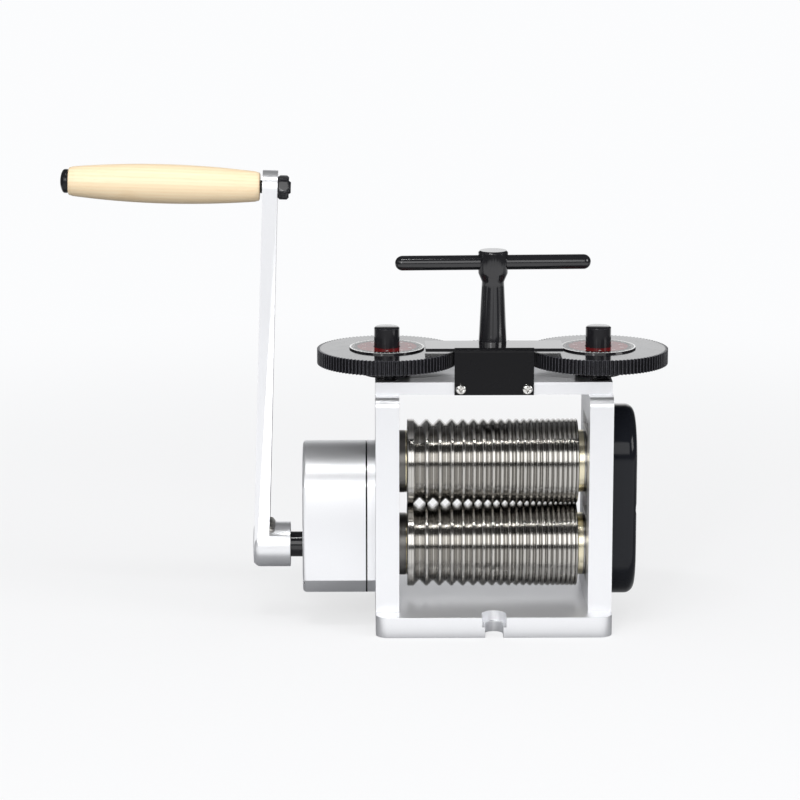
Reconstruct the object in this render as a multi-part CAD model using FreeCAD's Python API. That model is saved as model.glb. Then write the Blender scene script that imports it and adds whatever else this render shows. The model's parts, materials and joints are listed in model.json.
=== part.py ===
import FreeCAD, Part
import math
import os

# Hand-cranked jewellers' rolling mill for wire. Millimetres. X runs along the rolls to the right,
# Y away from the operator and Z up. The origin is the centre of the base plate's underside.

V = FreeCAD.Vector
X_AXIS, Y_AXIS, Z_AXIS = V(1, 0, 0), V(0, 1, 0), V(0, 0, 1)
LEFT, RIGHT = -1, 1

# ---- clearances --------------------------------------------------------------------------------
RUNNING = 0.05            # radial, between a shaft and its bearing, and between sliding faces
FITTED = 0.02             # radial, between pieces that are pressed or screwed together
SCREW_HOLE = 0.25         # radial, round the shank of a screw that passes through
TAP_SPARE = 0.5           # depth of a tapped hole beyond its screw
RIM_CLEARANCE = 0.4       # round a gear, inside its cover

# ---- rolls -------------------------------------------------------------------------------------
ROLL_WIDTH = 80.0
ROLL_DIAMETER = 40.0
ROLL_GAP = 0.1            # between the rolls when they are screwed down
LIFT = 3.0                # how far the upper roll rises
FIRST_GROOVE = 5.65       # width of the widest V groove, at the left
GROOVE_RATIO = 0.9176     # each groove's width over that of the one before
CREST = 0.95              # plain land between two grooves
LEFT_LAND = 2.5           # from the left end to the middle of the first land
RIGHT_LAND = 0.7          # the least plain width left at the right end
JOURNAL_RADIUS = 10.0
GEAR_SEAT_RADIUS = 8.0
SEAT_FLAT = 1.5           # depth of the driving flat on a gear seat
RING_GROOVE = 1.0         # depth of a retaining ring's groove
RING_THICKNESS = 1.0
RING_HEIGHT = 2.5         # how far a retaining ring stands out of its shaft
JOURNAL_END_GAP = 0.2     # from the upper roll's plain end to the gearbox

# ---- frame -------------------------------------------------------------------------------------
ROLL_END_GAP = 4.0        # from a roll's end to the side plate
SIDE_THICKNESS = 11.0
SIDE_DEPTH = 60.0
SIDE_CORNER = 4.7         # radius of the top corners
SIDE_BRIDGE = 14.4        # solid metal above the window
WINDOW_SPARE = 3.8        # between the raised upper block and the bridge
BASE_DEPTH = 79.4
BASE_THICKNESS = 9.7
BASE_CORNER = 6.0
ROLL_FLOOR_GAP = 5.4      # from the base plate up to the lower roll
SLOT_WIDTH = 8.4
SLOT_COUNTERBORE_WIDTH = 11.2
SLOT_COUNTERBORE_DEPTH = 4.7
SLOT_INSET = 7.0          # from the base plate's edge to the centre of the slot's round end
TOP_PLATE_DEPTH = 40.6
TOP_PLATE_THICKNESS = 5.8

# ---- bearings ----------------------------------------------------------------------------------
BLOCK_WIDTH = 30.0
BLOCK_HEIGHT = 30.0
BUSH_WALL = 2.0
BUSH_FLANGE_RADIUS = 14.7
ROLL_END_CLEARANCE = 0.2
SPRING_RADIUS = 4.0
SPRING_WALL = 1.0
SPRING_POCKET = 2.0

# ---- screw-down --------------------------------------------------------------------------------
PRESSURE_SCREW_THREAD = 4.0   # radius
PRESSURE_SCREW_RADIUS = 6.0   # of the keyed head
SCREW_FLAT = 1.2              # depth of the head's driving flat
SCREW_STUB = 10.3             # how far the head stands out of its gear
DIAL_GEAR_TEETH = 107
CENTRE_GEAR_TEETH = 58
GEAR_HUB_HEIGHT = 5.4
DIAL_GEAR_THICKNESS = 7.0
CENTRE_GEAR_THICKNESS = 7.6
DIAL_HUB_RADIUS = 11.0
CENTRE_HUB_RADIUS = 9.0
DIAL_RADIUS = 17.6
DIAL_THICKNESS = 0.8
FINE_BACKLASH = 0.12

# ---- T-handle ----------------------------------------------------------------------------------
SPINDLE_RADIUS = 5.0
SPINDLE_FOOT_RADIUS = 6.75
SPINDLE_NECK_RADIUS = 5.25
SPINDLE_HEAD_RADIUS = 7.0
SPINDLE_NECK_HEIGHT = 31.0    # from the centre gear's top
SPINDLE_SHOULDER = 4.1        # height of the cone under the head
SPINDLE_HEAD_HEIGHT = 10.5
SPINDLE_EDGE = 0.8
SPINDLE_TAIL = 2.0            # below the retaining ring
TEE_BAR_RADIUS = 3.5
TEE_BAR_LENGTH = 91.5
TEE_BAR_DROP = 5.7            # from the head's top to the bar's axis
TEE_BAR_TURN = 2.5            # degrees, left end towards the operator

# ---- gear guard --------------------------------------------------------------------------------
SHEET = 1.5
GUARD_GAP = 1.7               # between the centre gear and the lip
LIP_DEPTH = 12.8
LIP_WIDTH = 63.6
FLAP_WIDTH = 36.8
GUARD_BEND = 2.2              # outer radius of the bend
GUARD_SCREW_INSET = 3.0       # from the flap's side
PAN_HEAD_RADIUS = 2.45
PAN_HEAD_HEIGHT = 1.6
PAN_HEAD_RIM = 0.6
CROSS_SLOT_LENGTH = 2.7
CROSS_SLOT_WIDTH = 0.5
CROSS_SLOT_DEPTH = 1.1

# ---- screws ------------------------------------------------------------------------------------
M3 = 1.5                      # shank radii
M4 = 2.0
M5 = 2.5
M6 = 3.0
PLATE_SCREW_HEAD = 4.5
PLATE_SCREW_LENGTH = 14.0
PLATE_SCREW_Y = 13.2
PLATE_SCREW_SOCKET = 2.2      # out to its corners
FOOT_SCREW_HEAD = 4.25
FOOT_SCREW_HEAD_HEIGHT = 5.0
FOOT_SCREW_SUNK = 0.5
FOOT_SCREW_GRIP = 9.0
FOOT_SCREW_Y = 22.0
GUARD_SCREW_LENGTH = 8.0
SCREW_GRIP = 6.0              # of the gearbox's and the cover's screws in the side plates
HEX_SOCKET_SHARE = 0.55       # socket out to its corners, as a share of the head's radius
SOCKET_DEPTH = 2.0

# ---- roll gears and their cover ----------------------------------------------------------------
ROLL_GEAR_TEETH = 20
ROLL_GEAR_THICKNESS = 6.5
ROLL_GEAR_ADDENDUM = 1.85
ROLL_GEAR_DEDENDUM = 2.45
ROLL_GEAR_STANDOFF = 1.0      # from the side plate
ROLL_BACKLASH = 0.3
COVER_WALL = 1.2
COVER_EDGE = 4.5
COVER_CHAMFER_SHARE = 0.5     # chamfer inside the cover, as a share of the rounding outside
COVER_SPARE = 0.8             # above the raised upper gear
COVER_DEPTH = 12.0
COVER_SCREW_Y = 18.0
COVER_POST_RADIUS = 3.0
COVER_SCREW_HEAD = 2.6
JOURNAL_TAIL = 1.0            # beyond a retaining ring

# ---- gearbox -----------------------------------------------------------------------------------
GEARBOX_MODULE = 1.2
CRANK_PINION_TEETH = 15
COUNTER_GEAR_TEETH = 25
COUNTER_PINION_TEETH = 16
DRIVEN_GEAR_TEETH = 24
GEAR_FACE = 8.0
PINION_FACE = 9.0
GEARBOX_BACKLASH = 0.25
GEARBOX_HALF_WIDTH = 24.0
GEARBOX_CROWN_RADIUS = 25.7
GEARBOX_BELOW = 19.1          # from the crank's axis down to the floor of the housing
GEARBOX_CHAMFER = 7.5
GEARBOX_BACK_THICKNESS = 4.2
GEARBOX_LENGTH = 29.9
GEARBOX_WALL = 2.8
GEARBOX_EDGE = 1.8
GEARBOX_SCREW_Y = 19.0
GEARBOX_SCREW_ABOVE = 31.0    # upper screws, from the crank's axis
GEARBOX_SCREW_BELOW = 11.0    # lower screws
GEARBOX_POST_RADIUS = 3.3
GEARBOX_SCREW_HEAD = 3.5
GEARBOX_HEAD_HEIGHT = 3.6
GEAR_END_GAP = 1.3            # from the back plate to the driven gear
STEP_GAP = 5.0                # between the driven gear and the counter gear, along X
COUNTER_PIN_RADIUS = 4.0
COUNTER_HUB_WALL = 2.5
GEAR_END_PLAY = 0.4           # at each end of the countershaft's gear
COUNTER_PINION_SPARE = 1.0    # how far the pinion runs past the driven gear
PIN_BOSS_RADIUS = 7.0
PIN_BOSS_HEIGHT = 3.0
PIN_SEAT = 1.2                # how far the pin goes into the end wall
CRANK_BUSH_WALL = 2.0
CRANK_BUSH_LENGTH = 6.5
BUSH_BOSS_RADIUS = 10.5
SPIGOT_RADIUS = 4.0
SPIGOT_LENGTH = 7.0
SPIGOT_BORE_DEPTH = 5.5

# ---- crank -------------------------------------------------------------------------------------
CRANK_SHAFT_RADIUS = 6.0
CRANK_STANDOFF = 6.1          # bare shaft between the gearbox and the boss
BOSS_RADIUS = 10.6
BOSS_LENGTH = 17.4
BOSS_EDGE = 3.2
BOSS_FLOOR = 4.5              # solid metal at the outer end of the boss
ARM_THICKNESS = 7.0
ARM_ROOT_WIDTH = 18.0
ARM_TIP_WIDTH = 15.6
ARM_LEAN = 1.8                # degrees, tip towards the mill
ARM_SET_BACK = 0.3            # arm's outer face behind the boss's outer end
CRANK_RADIUS = 170.6
SET_SCREW_SINK = 1.0          # flat under the set screw
GRIP_LENGTH = 88.6
GRIP_INNER_RADIUS = 6.8
GRIP_MIDDLE_RADIUS = 9.1
GRIP_OUTER_RADIUS = 6.65
GRIP_STEPS = 8                # tapers that make up the barrel
GRIP_GAP = 1.2                # bare bolt between the arm and the grip
GRIP_CLEARANCE = 0.1
BOLT_HEAD_RADIUS = 5.6
BOLT_HEAD_HEIGHT = 3.7
BOLT_HEAD_RIM = 1.5
BOLT_DOME = ((1.0, 0.45), (0.6, 0.86))    # its corners, as shares of its height and radius
NUT_WIDTH = 10.0
NUT_HEIGHT = 5.2
BOLT_TAIL = 0.9

PRESSURE_ANGLE = math.radians(20.0)
DEDENDUM_SHARE = 1.25         # of the module

NEAR = 0.01                   # how close an edge lies to the place that picks it out

# ---- places worked out from the sizes above ----------------------------------------------------
ROLL_RADIUS = ROLL_DIAMETER / 2
ROLL_END = ROLL_WIDTH / 2
SIDE_INNER = ROLL_END + ROLL_END_GAP
SIDE_OUTER = SIDE_INNER + SIDE_THICKNESS
SCREW_X = (SIDE_INNER + SIDE_OUTER) / 2
LOWER_Z = BASE_THICKNESS + ROLL_FLOOR_GAP + ROLL_RADIUS
UPPER_Z = LOWER_Z + ROLL_DIAMETER + ROLL_GAP
WINDOW_BOTTOM = LOWER_Z - BLOCK_HEIGHT / 2
WINDOW_TOP = UPPER_Z + BLOCK_HEIGHT / 2 + LIFT + WINDOW_SPARE
SIDE_TOP = WINDOW_TOP + SIDE_BRIDGE
PLATE_TOP = SIDE_TOP + TOP_PLATE_THICKNESS
PLATE_FRONT = -TOP_PLATE_DEPTH / 2
BUSH_RADIUS = JOURNAL_RADIUS + RUNNING + BUSH_WALL
GEAR_BOTTOM = PLATE_TOP + GEAR_HUB_HEIGHT
DIAL_GEAR_TOP = GEAR_BOTTOM + DIAL_GEAR_THICKNESS
CENTRE_GEAR_TOP = GEAR_BOTTOM + CENTRE_GEAR_THICKNESS
FINE_MODULE = 2 * SCREW_X / (DIAL_GEAR_TEETH + CENTRE_GEAR_TEETH)
ROLL_GEAR_MODULE = (UPPER_Z - LOWER_Z) / ROLL_GEAR_TEETH
ROLL_GEAR_TIP = ROLL_GEAR_MODULE * ROLL_GEAR_TEETH / 2 + ROLL_GEAR_ADDENDUM
ROLL_GEAR_START = SIDE_OUTER + ROLL_GEAR_STANDOFF
ROLL_GEAR_END = ROLL_GEAR_START + ROLL_GEAR_THICKNESS
COUNTER_Z = LOWER_Z + GEARBOX_MODULE * (CRANK_PINION_TEETH + COUNTER_GEAR_TEETH) / 2
BACK_FACE = -SIDE_OUTER - GEARBOX_BACK_THICKNESS
GEARBOX_END = BACK_FACE - GEARBOX_LENGTH
DRIVEN_GEAR_END = BACK_FACE - GEAR_END_GAP
DRIVEN_GEAR_START = DRIVEN_GEAR_END - GEAR_FACE
COUNTER_GEAR_END = DRIVEN_GEAR_START - STEP_GAP
COUNTER_GEAR_START = COUNTER_GEAR_END - GEAR_FACE
BOSS_START = GEARBOX_END - CRANK_STANDOFF
BOSS_END = BOSS_START - BOSS_LENGTH
ARM_X = BOSS_END + ARM_SET_BACK + ARM_THICKNESS / 2
GRIP_Z = LOWER_Z + CRANK_RADIUS
SPINDLE_TOP = CENTRE_GEAR_TOP + SPINDLE_NECK_HEIGHT + SPINDLE_SHOULDER + SPINDLE_HEAD_HEIGHT


# ---- building blocks ---------------------------------------------------------------------------
def at(axis, along, centre):
    """The point this far along an axis whose two other coordinates, in X, Y, Z order, are centre."""
    if axis == X_AXIS:
        return V(along, centre[0], centre[1])
    if axis == Y_AXIS:
        return V(centre[0], along, centre[1])
    return V(centre[0], centre[1], along)


def box(x, y, z):
    return Part.makeBox(x[1] - x[0], y[1] - y[0], z[1] - z[0], V(x[0], y[0], z[0]))


def rod(radius, start, end, axis, centre=(0, 0)):
    low, high = sorted((start, end))
    return Part.makeCylinder(radius, high - low, at(axis, low, centre), axis)


def tube(outer, inner, start, end, axis, centre=(0, 0)):
    return rod(outer, start, end, axis, centre).cut(rod(inner, start, end, axis, centre))


def polygon(points):
    return Part.Face(Part.makePolygon(points + points[:1]))


def spun(edges, axis, centre):
    """A solid of revolution from the edges of a closed half outline."""
    return Part.Face(Part.Wire(edges)).revolve(at(axis, 0, centre), axis, 360)


def radial(axis, along, radius, centre):
    """A point of a turned outline: this far along the axis and this far from it."""
    if axis == X_AXIS:
        return V(along, centre[0], centre[1] + radius)
    return at(axis, along, (centre[0] + radius, centre[1]))


def turned(outline, axis, centre=(0, 0)):
    """A turned piece from its (place along the axis, radius) corners."""
    closed = [(outline[0][0], 0.0)] + list(outline) + [(outline[-1][0], 0.0)]
    points = [radial(axis, along, radius, centre) for along, radius in closed]
    return polygon(points).revolve(at(axis, 0, centre), axis, 360)


def rounded(shape, radius, wanted):
    """The shape with a fillet on each edge that the test wanted picks."""
    return shape.makeFillet(radius, [edge for edge in shape.Edges if wanted(edge)])


def near(value, place):
    return abs(value - place) < NEAR


def runs_along(edge, axis):
    """Whether a straight edge is parallel to an axis."""
    if not isinstance(edge.Curve, Part.Line):
        return False
    return abs(edge.Curve.Direction.dot(axis)) > 0.999


def involute(angle):
    return math.tan(angle) - angle


def spur(teeth, module, addendum, dedendum, backlash, tooth_at, start, end, axis, centre, steps=1):
    """A spur gear with involute flanks of this many steps, one of its teeth centred at tooth_at degrees."""
    pitch = module * teeth / 2
    base = pitch * math.cos(PRESSURE_ANGLE)
    root, tip = pitch - dedendum, pitch + addendum
    half_tooth = (math.pi * module / 2 - backlash) / 2 / pitch

    def half_angle(radius):
        return half_tooth + involute(PRESSURE_ANGLE) - involute(math.acos(min(base / radius, 1.0)))

    flank = [root + (tip - root) * step / steps for step in range(steps + 1)]
    points = []
    for tooth in range(teeth):
        middle = math.radians(tooth_at) + 2 * math.pi * tooth / teeth
        rising = [(radius, middle - half_angle(radius)) for radius in flank]
        falling = [(radius, middle + half_angle(radius)) for radius in reversed(flank)]
        for radius, angle in rising + falling:
            across, up = radius * math.cos(angle), radius * math.sin(angle)
            points.append(at(axis, start, (centre[0] + across, centre[1] + up)))
    return polygon(points).extrude(axis * (end - start))


def hexagon(radius, start, end, axis, centre):
    """A hexagonal bar of this radius out to its corners."""
    corners = []
    for corner in range(6):
        angle = math.radians(60 * corner + 30)
        across, up = radius * math.cos(angle), radius * math.sin(angle)
        corners.append(at(axis, start, (centre[0] + across, centre[1] + up)))
    return polygon(corners).extrude(axis * (end - start))


def cap_screw(head, head_height, shank, head_face, inwards, length, axis, centre):
    """A socket-head screw: its head's outer face is at head_face and it points inwards (+1 or -1)."""
    neck = head_face + inwards * head_height
    outline = [(head_face, head), (neck, head), (neck, shank), (neck + inwards * length, shank)]
    socket = hexagon(head * HEX_SOCKET_SHARE, head_face, head_face + inwards * SOCKET_DEPTH, axis, centre)
    return turned(outline, axis, centre).cut(socket)


def retaining_ring(shaft, start, axis, centre):
    """A ring that sits in a shaft's groove, its low face at start."""
    inner = shaft - RING_GROOVE + FITTED
    return tube(shaft + RING_HEIGHT, inner, start, start + RING_THICKNESS, axis, centre)


def group(shapes):
    return Part.makeCompound(list(shapes))


def four(x, y, make):
    """Four alike pieces at the corners of a rectangle."""
    return group(make(i * x, j * y) for i in (LEFT, RIGHT) for j in (-1, 1))


def leaned(shape):
    """A piece of the crank turned with the arm, which leans about the crank's own axis."""
    shape.rotate(V(ARM_X, 0, LOWER_Z), Y_AXIS, ARM_LEAN)
    return shape


# ---- frame -------------------------------------------------------------------------------------
def bolt_slot(front):
    """The open-ended, counterbored slot at the front (-1) or rear (+1) edge of the base plate."""
    edge = front * BASE_DEPTH / 2
    centre_y = edge - front * SLOT_INSET
    floor = BASE_THICKNESS - SLOT_COUNTERBORE_DEPTH
    cutters = []
    for width, low in ((SLOT_WIDTH, 0.0), (SLOT_COUNTERBORE_WIDTH, floor)):
        run = sorted((centre_y, edge))
        cutters.append(box((-width / 2, width / 2), run, (low, BASE_THICKNESS)))
        cutters.append(rod(width / 2, low, BASE_THICKNESS, Z_AXIS, (0, centre_y)))
    return cutters


def base_plate():
    plate = box((-SIDE_OUTER, SIDE_OUTER), (-BASE_DEPTH / 2, BASE_DEPTH / 2), (0, BASE_THICKNESS))
    plate = rounded(plate, BASE_CORNER, lambda edge: runs_along(edge, Z_AXIS))
    cutters = bolt_slot(-1) + bolt_slot(1)
    for size, depth in ((M5, BASE_THICKNESS), (FOOT_SCREW_HEAD, FOOT_SCREW_SUNK + FOOT_SCREW_HEAD_HEIGHT)):
        radius = size + SCREW_HOLE
        cutters.append(four(SCREW_X, FOOT_SCREW_Y, lambda x, y: rod(radius, 0, depth, Z_AXIS, (x, y))))
    return plate.cut(cutters)


def side_plate_screws():
    length = BASE_THICKNESS - FOOT_SCREW_SUNK - FOOT_SCREW_HEAD_HEIGHT + FOOT_SCREW_GRIP
    return four(SCREW_X, FOOT_SCREW_Y, lambda x, y: cap_screw(
        FOOT_SCREW_HEAD, FOOT_SCREW_HEAD_HEIGHT, M5, FOOT_SCREW_SUNK, 1, length, Z_AXIS, (x, y)))


def side_holes(side):
    """The screw holes that the gearbox or the cover needs in this side plate."""
    if side == LEFT:
        places = gearbox_screw_places()
        size = M4
    else:
        places = cover_screw_places()
        size = M3
    outer, inner = side * SIDE_OUTER, side * (SIDE_OUTER - SCREW_GRIP - TAP_SPARE)
    return [rod(size + FITTED, outer, inner, X_AXIS, place) for place in places]


def side_plate(side):
    low, high = sorted((side * SIDE_INNER, side * SIDE_OUTER))
    plate = box((low, high), (-SIDE_DEPTH / 2, SIDE_DEPTH / 2), (BASE_THICKNESS, SIDE_TOP))
    plate = rounded(plate, SIDE_CORNER,
                    lambda edge: runs_along(edge, X_AXIS) and edge.CenterOfMass.z > WINDOW_TOP)
    half = BLOCK_WIDTH / 2 + RUNNING
    centre_x = side * SCREW_X
    foot_top = BASE_THICKNESS + FOOT_SCREW_GRIP + TAP_SPARE
    tap_low = PLATE_TOP - PLATE_SCREW_LENGTH - TAP_SPARE
    cutters = [
        box((low, high), (-half, half), (WINDOW_BOTTOM, WINDOW_TOP)),
        rod(PRESSURE_SCREW_THREAD + RUNNING, WINDOW_TOP, SIDE_TOP, Z_AXIS, (centre_x, 0)),
    ]
    for front in (-1, 1):
        cutters.append(rod(M5 + FITTED, BASE_THICKNESS, foot_top, Z_AXIS, (centre_x, front * FOOT_SCREW_Y)))
        cutters.append(rod(M5 + FITTED, tap_low, SIDE_TOP, Z_AXIS, (centre_x, front * PLATE_SCREW_Y)))
    return plate.cut(cutters + side_holes(side))


def plate_screw(x, y, spare=0.0):
    """A countersunk screw, or with spare its hole in the top plate."""
    cone = PLATE_SCREW_HEAD - M5
    outline = [
        (PLATE_TOP - PLATE_SCREW_LENGTH, M5 + spare),
        (PLATE_TOP - cone, M5 + spare),
        (PLATE_TOP, PLATE_SCREW_HEAD + spare),
    ]
    return turned(outline, Z_AXIS, (x, y))


def top_plate():
    plate = box((-SIDE_OUTER, SIDE_OUTER), (PLATE_FRONT, -PLATE_FRONT), (SIDE_TOP, PLATE_TOP))
    cutters = [rod(SPINDLE_RADIUS + RUNNING, SIDE_TOP, PLATE_TOP, Z_AXIS)]
    for side in (LEFT, RIGHT):
        cutters.append(rod(PRESSURE_SCREW_THREAD + RUNNING, SIDE_TOP, PLATE_TOP, Z_AXIS, (side * SCREW_X, 0)))
        place = (side * guard_screw_x(), guard_screw_z())
        hole_end = PLATE_FRONT + GUARD_SCREW_LENGTH + TAP_SPARE
        cutters.append(rod(M3 + FITTED, PLATE_FRONT, hole_end, Y_AXIS, place))
    cutters.append(four(SCREW_X, PLATE_SCREW_Y, lambda x, y: plate_screw(x, y, FITTED)))
    return plate.cut(cutters)


def top_plate_screws():
    def screw(x, y):
        socket = hexagon(PLATE_SCREW_SOCKET, PLATE_TOP - SOCKET_DEPTH, PLATE_TOP, Z_AXIS, (x, y))
        return plate_screw(x, y).cut(socket)
    return four(SCREW_X, PLATE_SCREW_Y, screw)


# ---- bearings ----------------------------------------------------------------------------------
def bearing_block(side, axis_z, spring_side):
    """A block in the window, with a bore for its bush and a pocket above (+1) or below (-1) for the spring."""
    inner, outer = side * SIDE_INNER, side * (SIDE_OUTER - 2 * RUNNING)
    face = axis_z + spring_side * BLOCK_HEIGHT / 2
    half = BLOCK_WIDTH / 2
    block = box(sorted((inner, outer)), (-half, half), (axis_z - BLOCK_HEIGHT / 2, axis_z + BLOCK_HEIGHT / 2))
    bore = rod(BUSH_RADIUS + FITTED, inner, outer, X_AXIS, (0, axis_z))
    pocket_end = face - spring_side * SPRING_POCKET
    pocket = rod(SPRING_RADIUS + RUNNING, face, pocket_end, Z_AXIS, (side * SCREW_X, 0))
    return block.cut([bore, pocket])


def bush(side, axis_z):
    """A flanged bush, its flange between the block and the roll's end."""
    flange = side * (ROLL_END + ROLL_END_CLEARANCE)
    sleeve = rod(BUSH_RADIUS, side * SIDE_INNER, side * (SIDE_OUTER - 2 * RUNNING), X_AXIS, (0, axis_z))
    collar = rod(BUSH_FLANGE_RADIUS, flange, side * SIDE_INNER, X_AXIS, (0, axis_z))
    bore = rod(JOURNAL_RADIUS + RUNNING, flange, side * SIDE_OUTER, X_AXIS, (0, axis_z))
    return sleeve.fuse(collar).cut(bore).removeSplitter()


def lift_spring(side):
    bottom = LOWER_Z + BLOCK_HEIGHT / 2 - SPRING_POCKET
    top = UPPER_Z - BLOCK_HEIGHT / 2 + SPRING_POCKET
    return tube(SPRING_RADIUS, SPRING_RADIUS - SPRING_WALL, bottom, top, Z_AXIS, (side * SCREW_X, 0))


# ---- rolls -------------------------------------------------------------------------------------
def grooved_outline():
    """The barrel's corners: square V grooves that get finer to the right, with a plain land between two."""
    outline = [(-ROLL_END, ROLL_RADIUS)]
    edge, width = -ROLL_END + LEFT_LAND + CREST / 2, FIRST_GROOVE
    while edge + width < ROLL_END - RIGHT_LAND:
        bottom = (edge + width / 2, ROLL_RADIUS - width / 2)
        outline += [(edge, ROLL_RADIUS), bottom, (edge + width, ROLL_RADIUS)]
        edge += width + CREST
        width *= GROOVE_RATIO
    return outline + [(ROLL_END, ROLL_RADIUS)]


def gear_seat(shoulder, seat_end):
    """The corners of a shaft end that carries a gear and its retaining ring, from the shoulder outwards."""
    way = 1 if seat_end > shoulder else -1
    ring_end = seat_end + way * RING_THICKNESS
    neck = GEAR_SEAT_RADIUS - RING_GROOVE
    return [
        (shoulder, JOURNAL_RADIUS), (shoulder, GEAR_SEAT_RADIUS), (seat_end, GEAR_SEAT_RADIUS),
        (seat_end, neck), (ring_end, neck), (ring_end, GEAR_SEAT_RADIUS),
        (ring_end + way * JOURNAL_TAIL, GEAR_SEAT_RADIUS),
    ]


def seat_flat(start, end, axis_z, spare=0.0):
    """The block that cuts the driving flat on the front of a gear seat."""
    face = -GEAR_SEAT_RADIUS + SEAT_FLAT - spare
    reach = 2 * GEAR_SEAT_RADIUS
    return box(sorted((start, end)), (-reach, face), (axis_z - reach, axis_z + reach))


def seated_gear(blank, start, end, axis_z):
    """A gear bored for its seat, with a flat in the bore."""
    bore = rod(GEAR_SEAT_RADIUS + FITTED, start, end, X_AXIS, (0, axis_z))
    return blank.cut(bore.cut(seat_flat(start, end, axis_z, FITTED)))


def upper_roll():
    left_end = -SIDE_OUTER + JOURNAL_END_GAP
    outline = [(left_end, JOURNAL_RADIUS), (-ROLL_END, JOURNAL_RADIUS)] + grooved_outline()
    outline += [(ROLL_END, JOURNAL_RADIUS)] + gear_seat(ROLL_GEAR_START, ROLL_GEAR_END)
    return turned(outline, X_AXIS, (0, UPPER_Z)).cut(seat_flat(ROLL_GEAR_START, ROLL_GEAR_END, UPPER_Z))


def lower_roll():
    left_seat = gear_seat(DRIVEN_GEAR_END, DRIVEN_GEAR_START)
    outline = left_seat[::-1] + [(-ROLL_END, JOURNAL_RADIUS)] + grooved_outline()
    outline += [(ROLL_END, JOURNAL_RADIUS)] + gear_seat(ROLL_GEAR_START, ROLL_GEAR_END)
    tail = left_seat[-1][0]
    cutters = [
        seat_flat(ROLL_GEAR_START, ROLL_GEAR_END, LOWER_Z),
        seat_flat(DRIVEN_GEAR_START, DRIVEN_GEAR_END, LOWER_Z),
        rod(SPIGOT_RADIUS + RUNNING, tail, tail + SPIGOT_BORE_DEPTH, X_AXIS, (0, LOWER_Z)),
    ]
    return turned(outline, X_AXIS, (0, LOWER_Z)).cut(cutters)


def roll_gear(axis_z, tooth_at):
    blank = spur(ROLL_GEAR_TEETH, ROLL_GEAR_MODULE, ROLL_GEAR_ADDENDUM, ROLL_GEAR_DEDENDUM, ROLL_BACKLASH,
                 tooth_at, ROLL_GEAR_START, ROLL_GEAR_END, X_AXIS, (0, axis_z), steps=2)
    return seated_gear(blank, ROLL_GEAR_START, ROLL_GEAR_END, axis_z)


def gear_ring(start, axis_z):
    return retaining_ring(GEAR_SEAT_RADIUS, start, X_AXIS, (0, axis_z))


# ---- roll gear cover ---------------------------------------------------------------------------
def cover_screw_places():
    waist = (LOWER_Z + UPPER_Z + LIFT) / 2
    return [(-COVER_SCREW_Y, waist), (COVER_SCREW_Y, waist)]


def stadium(radius, start, end):
    """A solid with straight sides and round ends, about both roll gears."""
    top = UPPER_Z + LIFT + COVER_SPARE
    middle = box((start, end), (-radius, radius), (LOWER_Z, top))
    ends = [rod(radius, start, end, X_AXIS, (0, z)) for z in (LOWER_Z, top)]
    return middle.fuse(ends).removeSplitter()


def gear_cover():
    inner_radius = ROLL_GEAR_TIP + RIM_CLEARANCE
    outer_face = SIDE_OUTER + COVER_DEPTH
    inner_face = outer_face - COVER_WALL
    shell = rounded(stadium(inner_radius + COVER_WALL, SIDE_OUTER, outer_face), COVER_EDGE,
                    lambda edge: near(edge.CenterOfMass.x, outer_face))
    hollow = stadium(inner_radius, SIDE_OUTER, inner_face)
    rim = [edge for edge in hollow.Edges if near(edge.CenterOfMass.x, inner_face)]
    hollow = hollow.makeChamfer(COVER_EDGE * COVER_CHAMFER_SHARE, rim)
    posts = []
    holes = []
    for place in cover_screw_places():
        posts.append(rod(COVER_POST_RADIUS, SIDE_OUTER, inner_face, X_AXIS, place))
        holes.append(rod(M3 + SCREW_HOLE, SIDE_OUTER, outer_face, X_AXIS, place))
        head_low = outer_face - COVER_SCREW_HEAD
        holes.append(rod(COVER_SCREW_HEAD + SCREW_HOLE, head_low, outer_face, X_AXIS, place))
    return shell.cut(hollow).fuse(posts).cut(holes).removeSplitter()


def gear_cover_screws():
    head_face = SIDE_OUTER + COVER_DEPTH - FOOT_SCREW_SUNK
    head_height = COVER_SCREW_HEAD - FOOT_SCREW_SUNK
    length = head_face - head_height - SIDE_OUTER + SCREW_GRIP
    return group(cap_screw(COVER_SCREW_HEAD, head_height, M3, head_face, -1, length, X_AXIS, place)
                 for place in cover_screw_places())


# ---- gearbox -----------------------------------------------------------------------------------
def gearbox_screw_places():
    heights = (LOWER_Z - GEARBOX_SCREW_BELOW, LOWER_Z + GEARBOX_SCREW_ABOVE)
    return [(side * GEARBOX_SCREW_Y, z) for side in (-1, 1) for z in heights]


def gearbox_form(inset, start, end):
    """The gearbox's outline, set in from its outer surface: flat sides, chamfered floor and a round crown."""
    half = GEARBOX_HALF_WIDTH - inset
    crown = GEARBOX_CROWN_RADIUS - inset
    floor = LOWER_Z - GEARBOX_BELOW + inset
    chamfer = GEARBOX_CHAMFER - inset * (2 - math.sqrt(2))
    spring_line = COUNTER_Z + math.sqrt(crown ** 2 - half ** 2)
    corners = [(-half, spring_line), (-half, floor + chamfer), (-half + chamfer, floor),
               (half - chamfer, floor), (half, floor + chamfer), (half, spring_line)]
    points = [V(start, y, z) for y, z in corners]
    edges = [Part.LineSegment(a, b).toShape() for a, b in zip(points, points[1:])]
    edges.append(Part.Arc(points[-1], V(start, 0, COUNTER_Z + crown), points[0]).toShape())
    return Part.Face(Part.Wire(edges)).extrude(V(end - start, 0, 0))


def gearbox_back_plate():
    plate = gearbox_form(0, BACK_FACE, -SIDE_OUTER)
    holes = [(M4 + SCREW_HOLE, place) for place in gearbox_screw_places()]
    holes.append((JOURNAL_RADIUS + RIM_CLEARANCE, (0, LOWER_Z)))
    holes.append((COUNTER_PIN_RADIUS + FITTED, (0, COUNTER_Z)))
    return plate.cut([rod(radius, BACK_FACE, -SIDE_OUTER, X_AXIS, place) for radius, place in holes])


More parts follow.
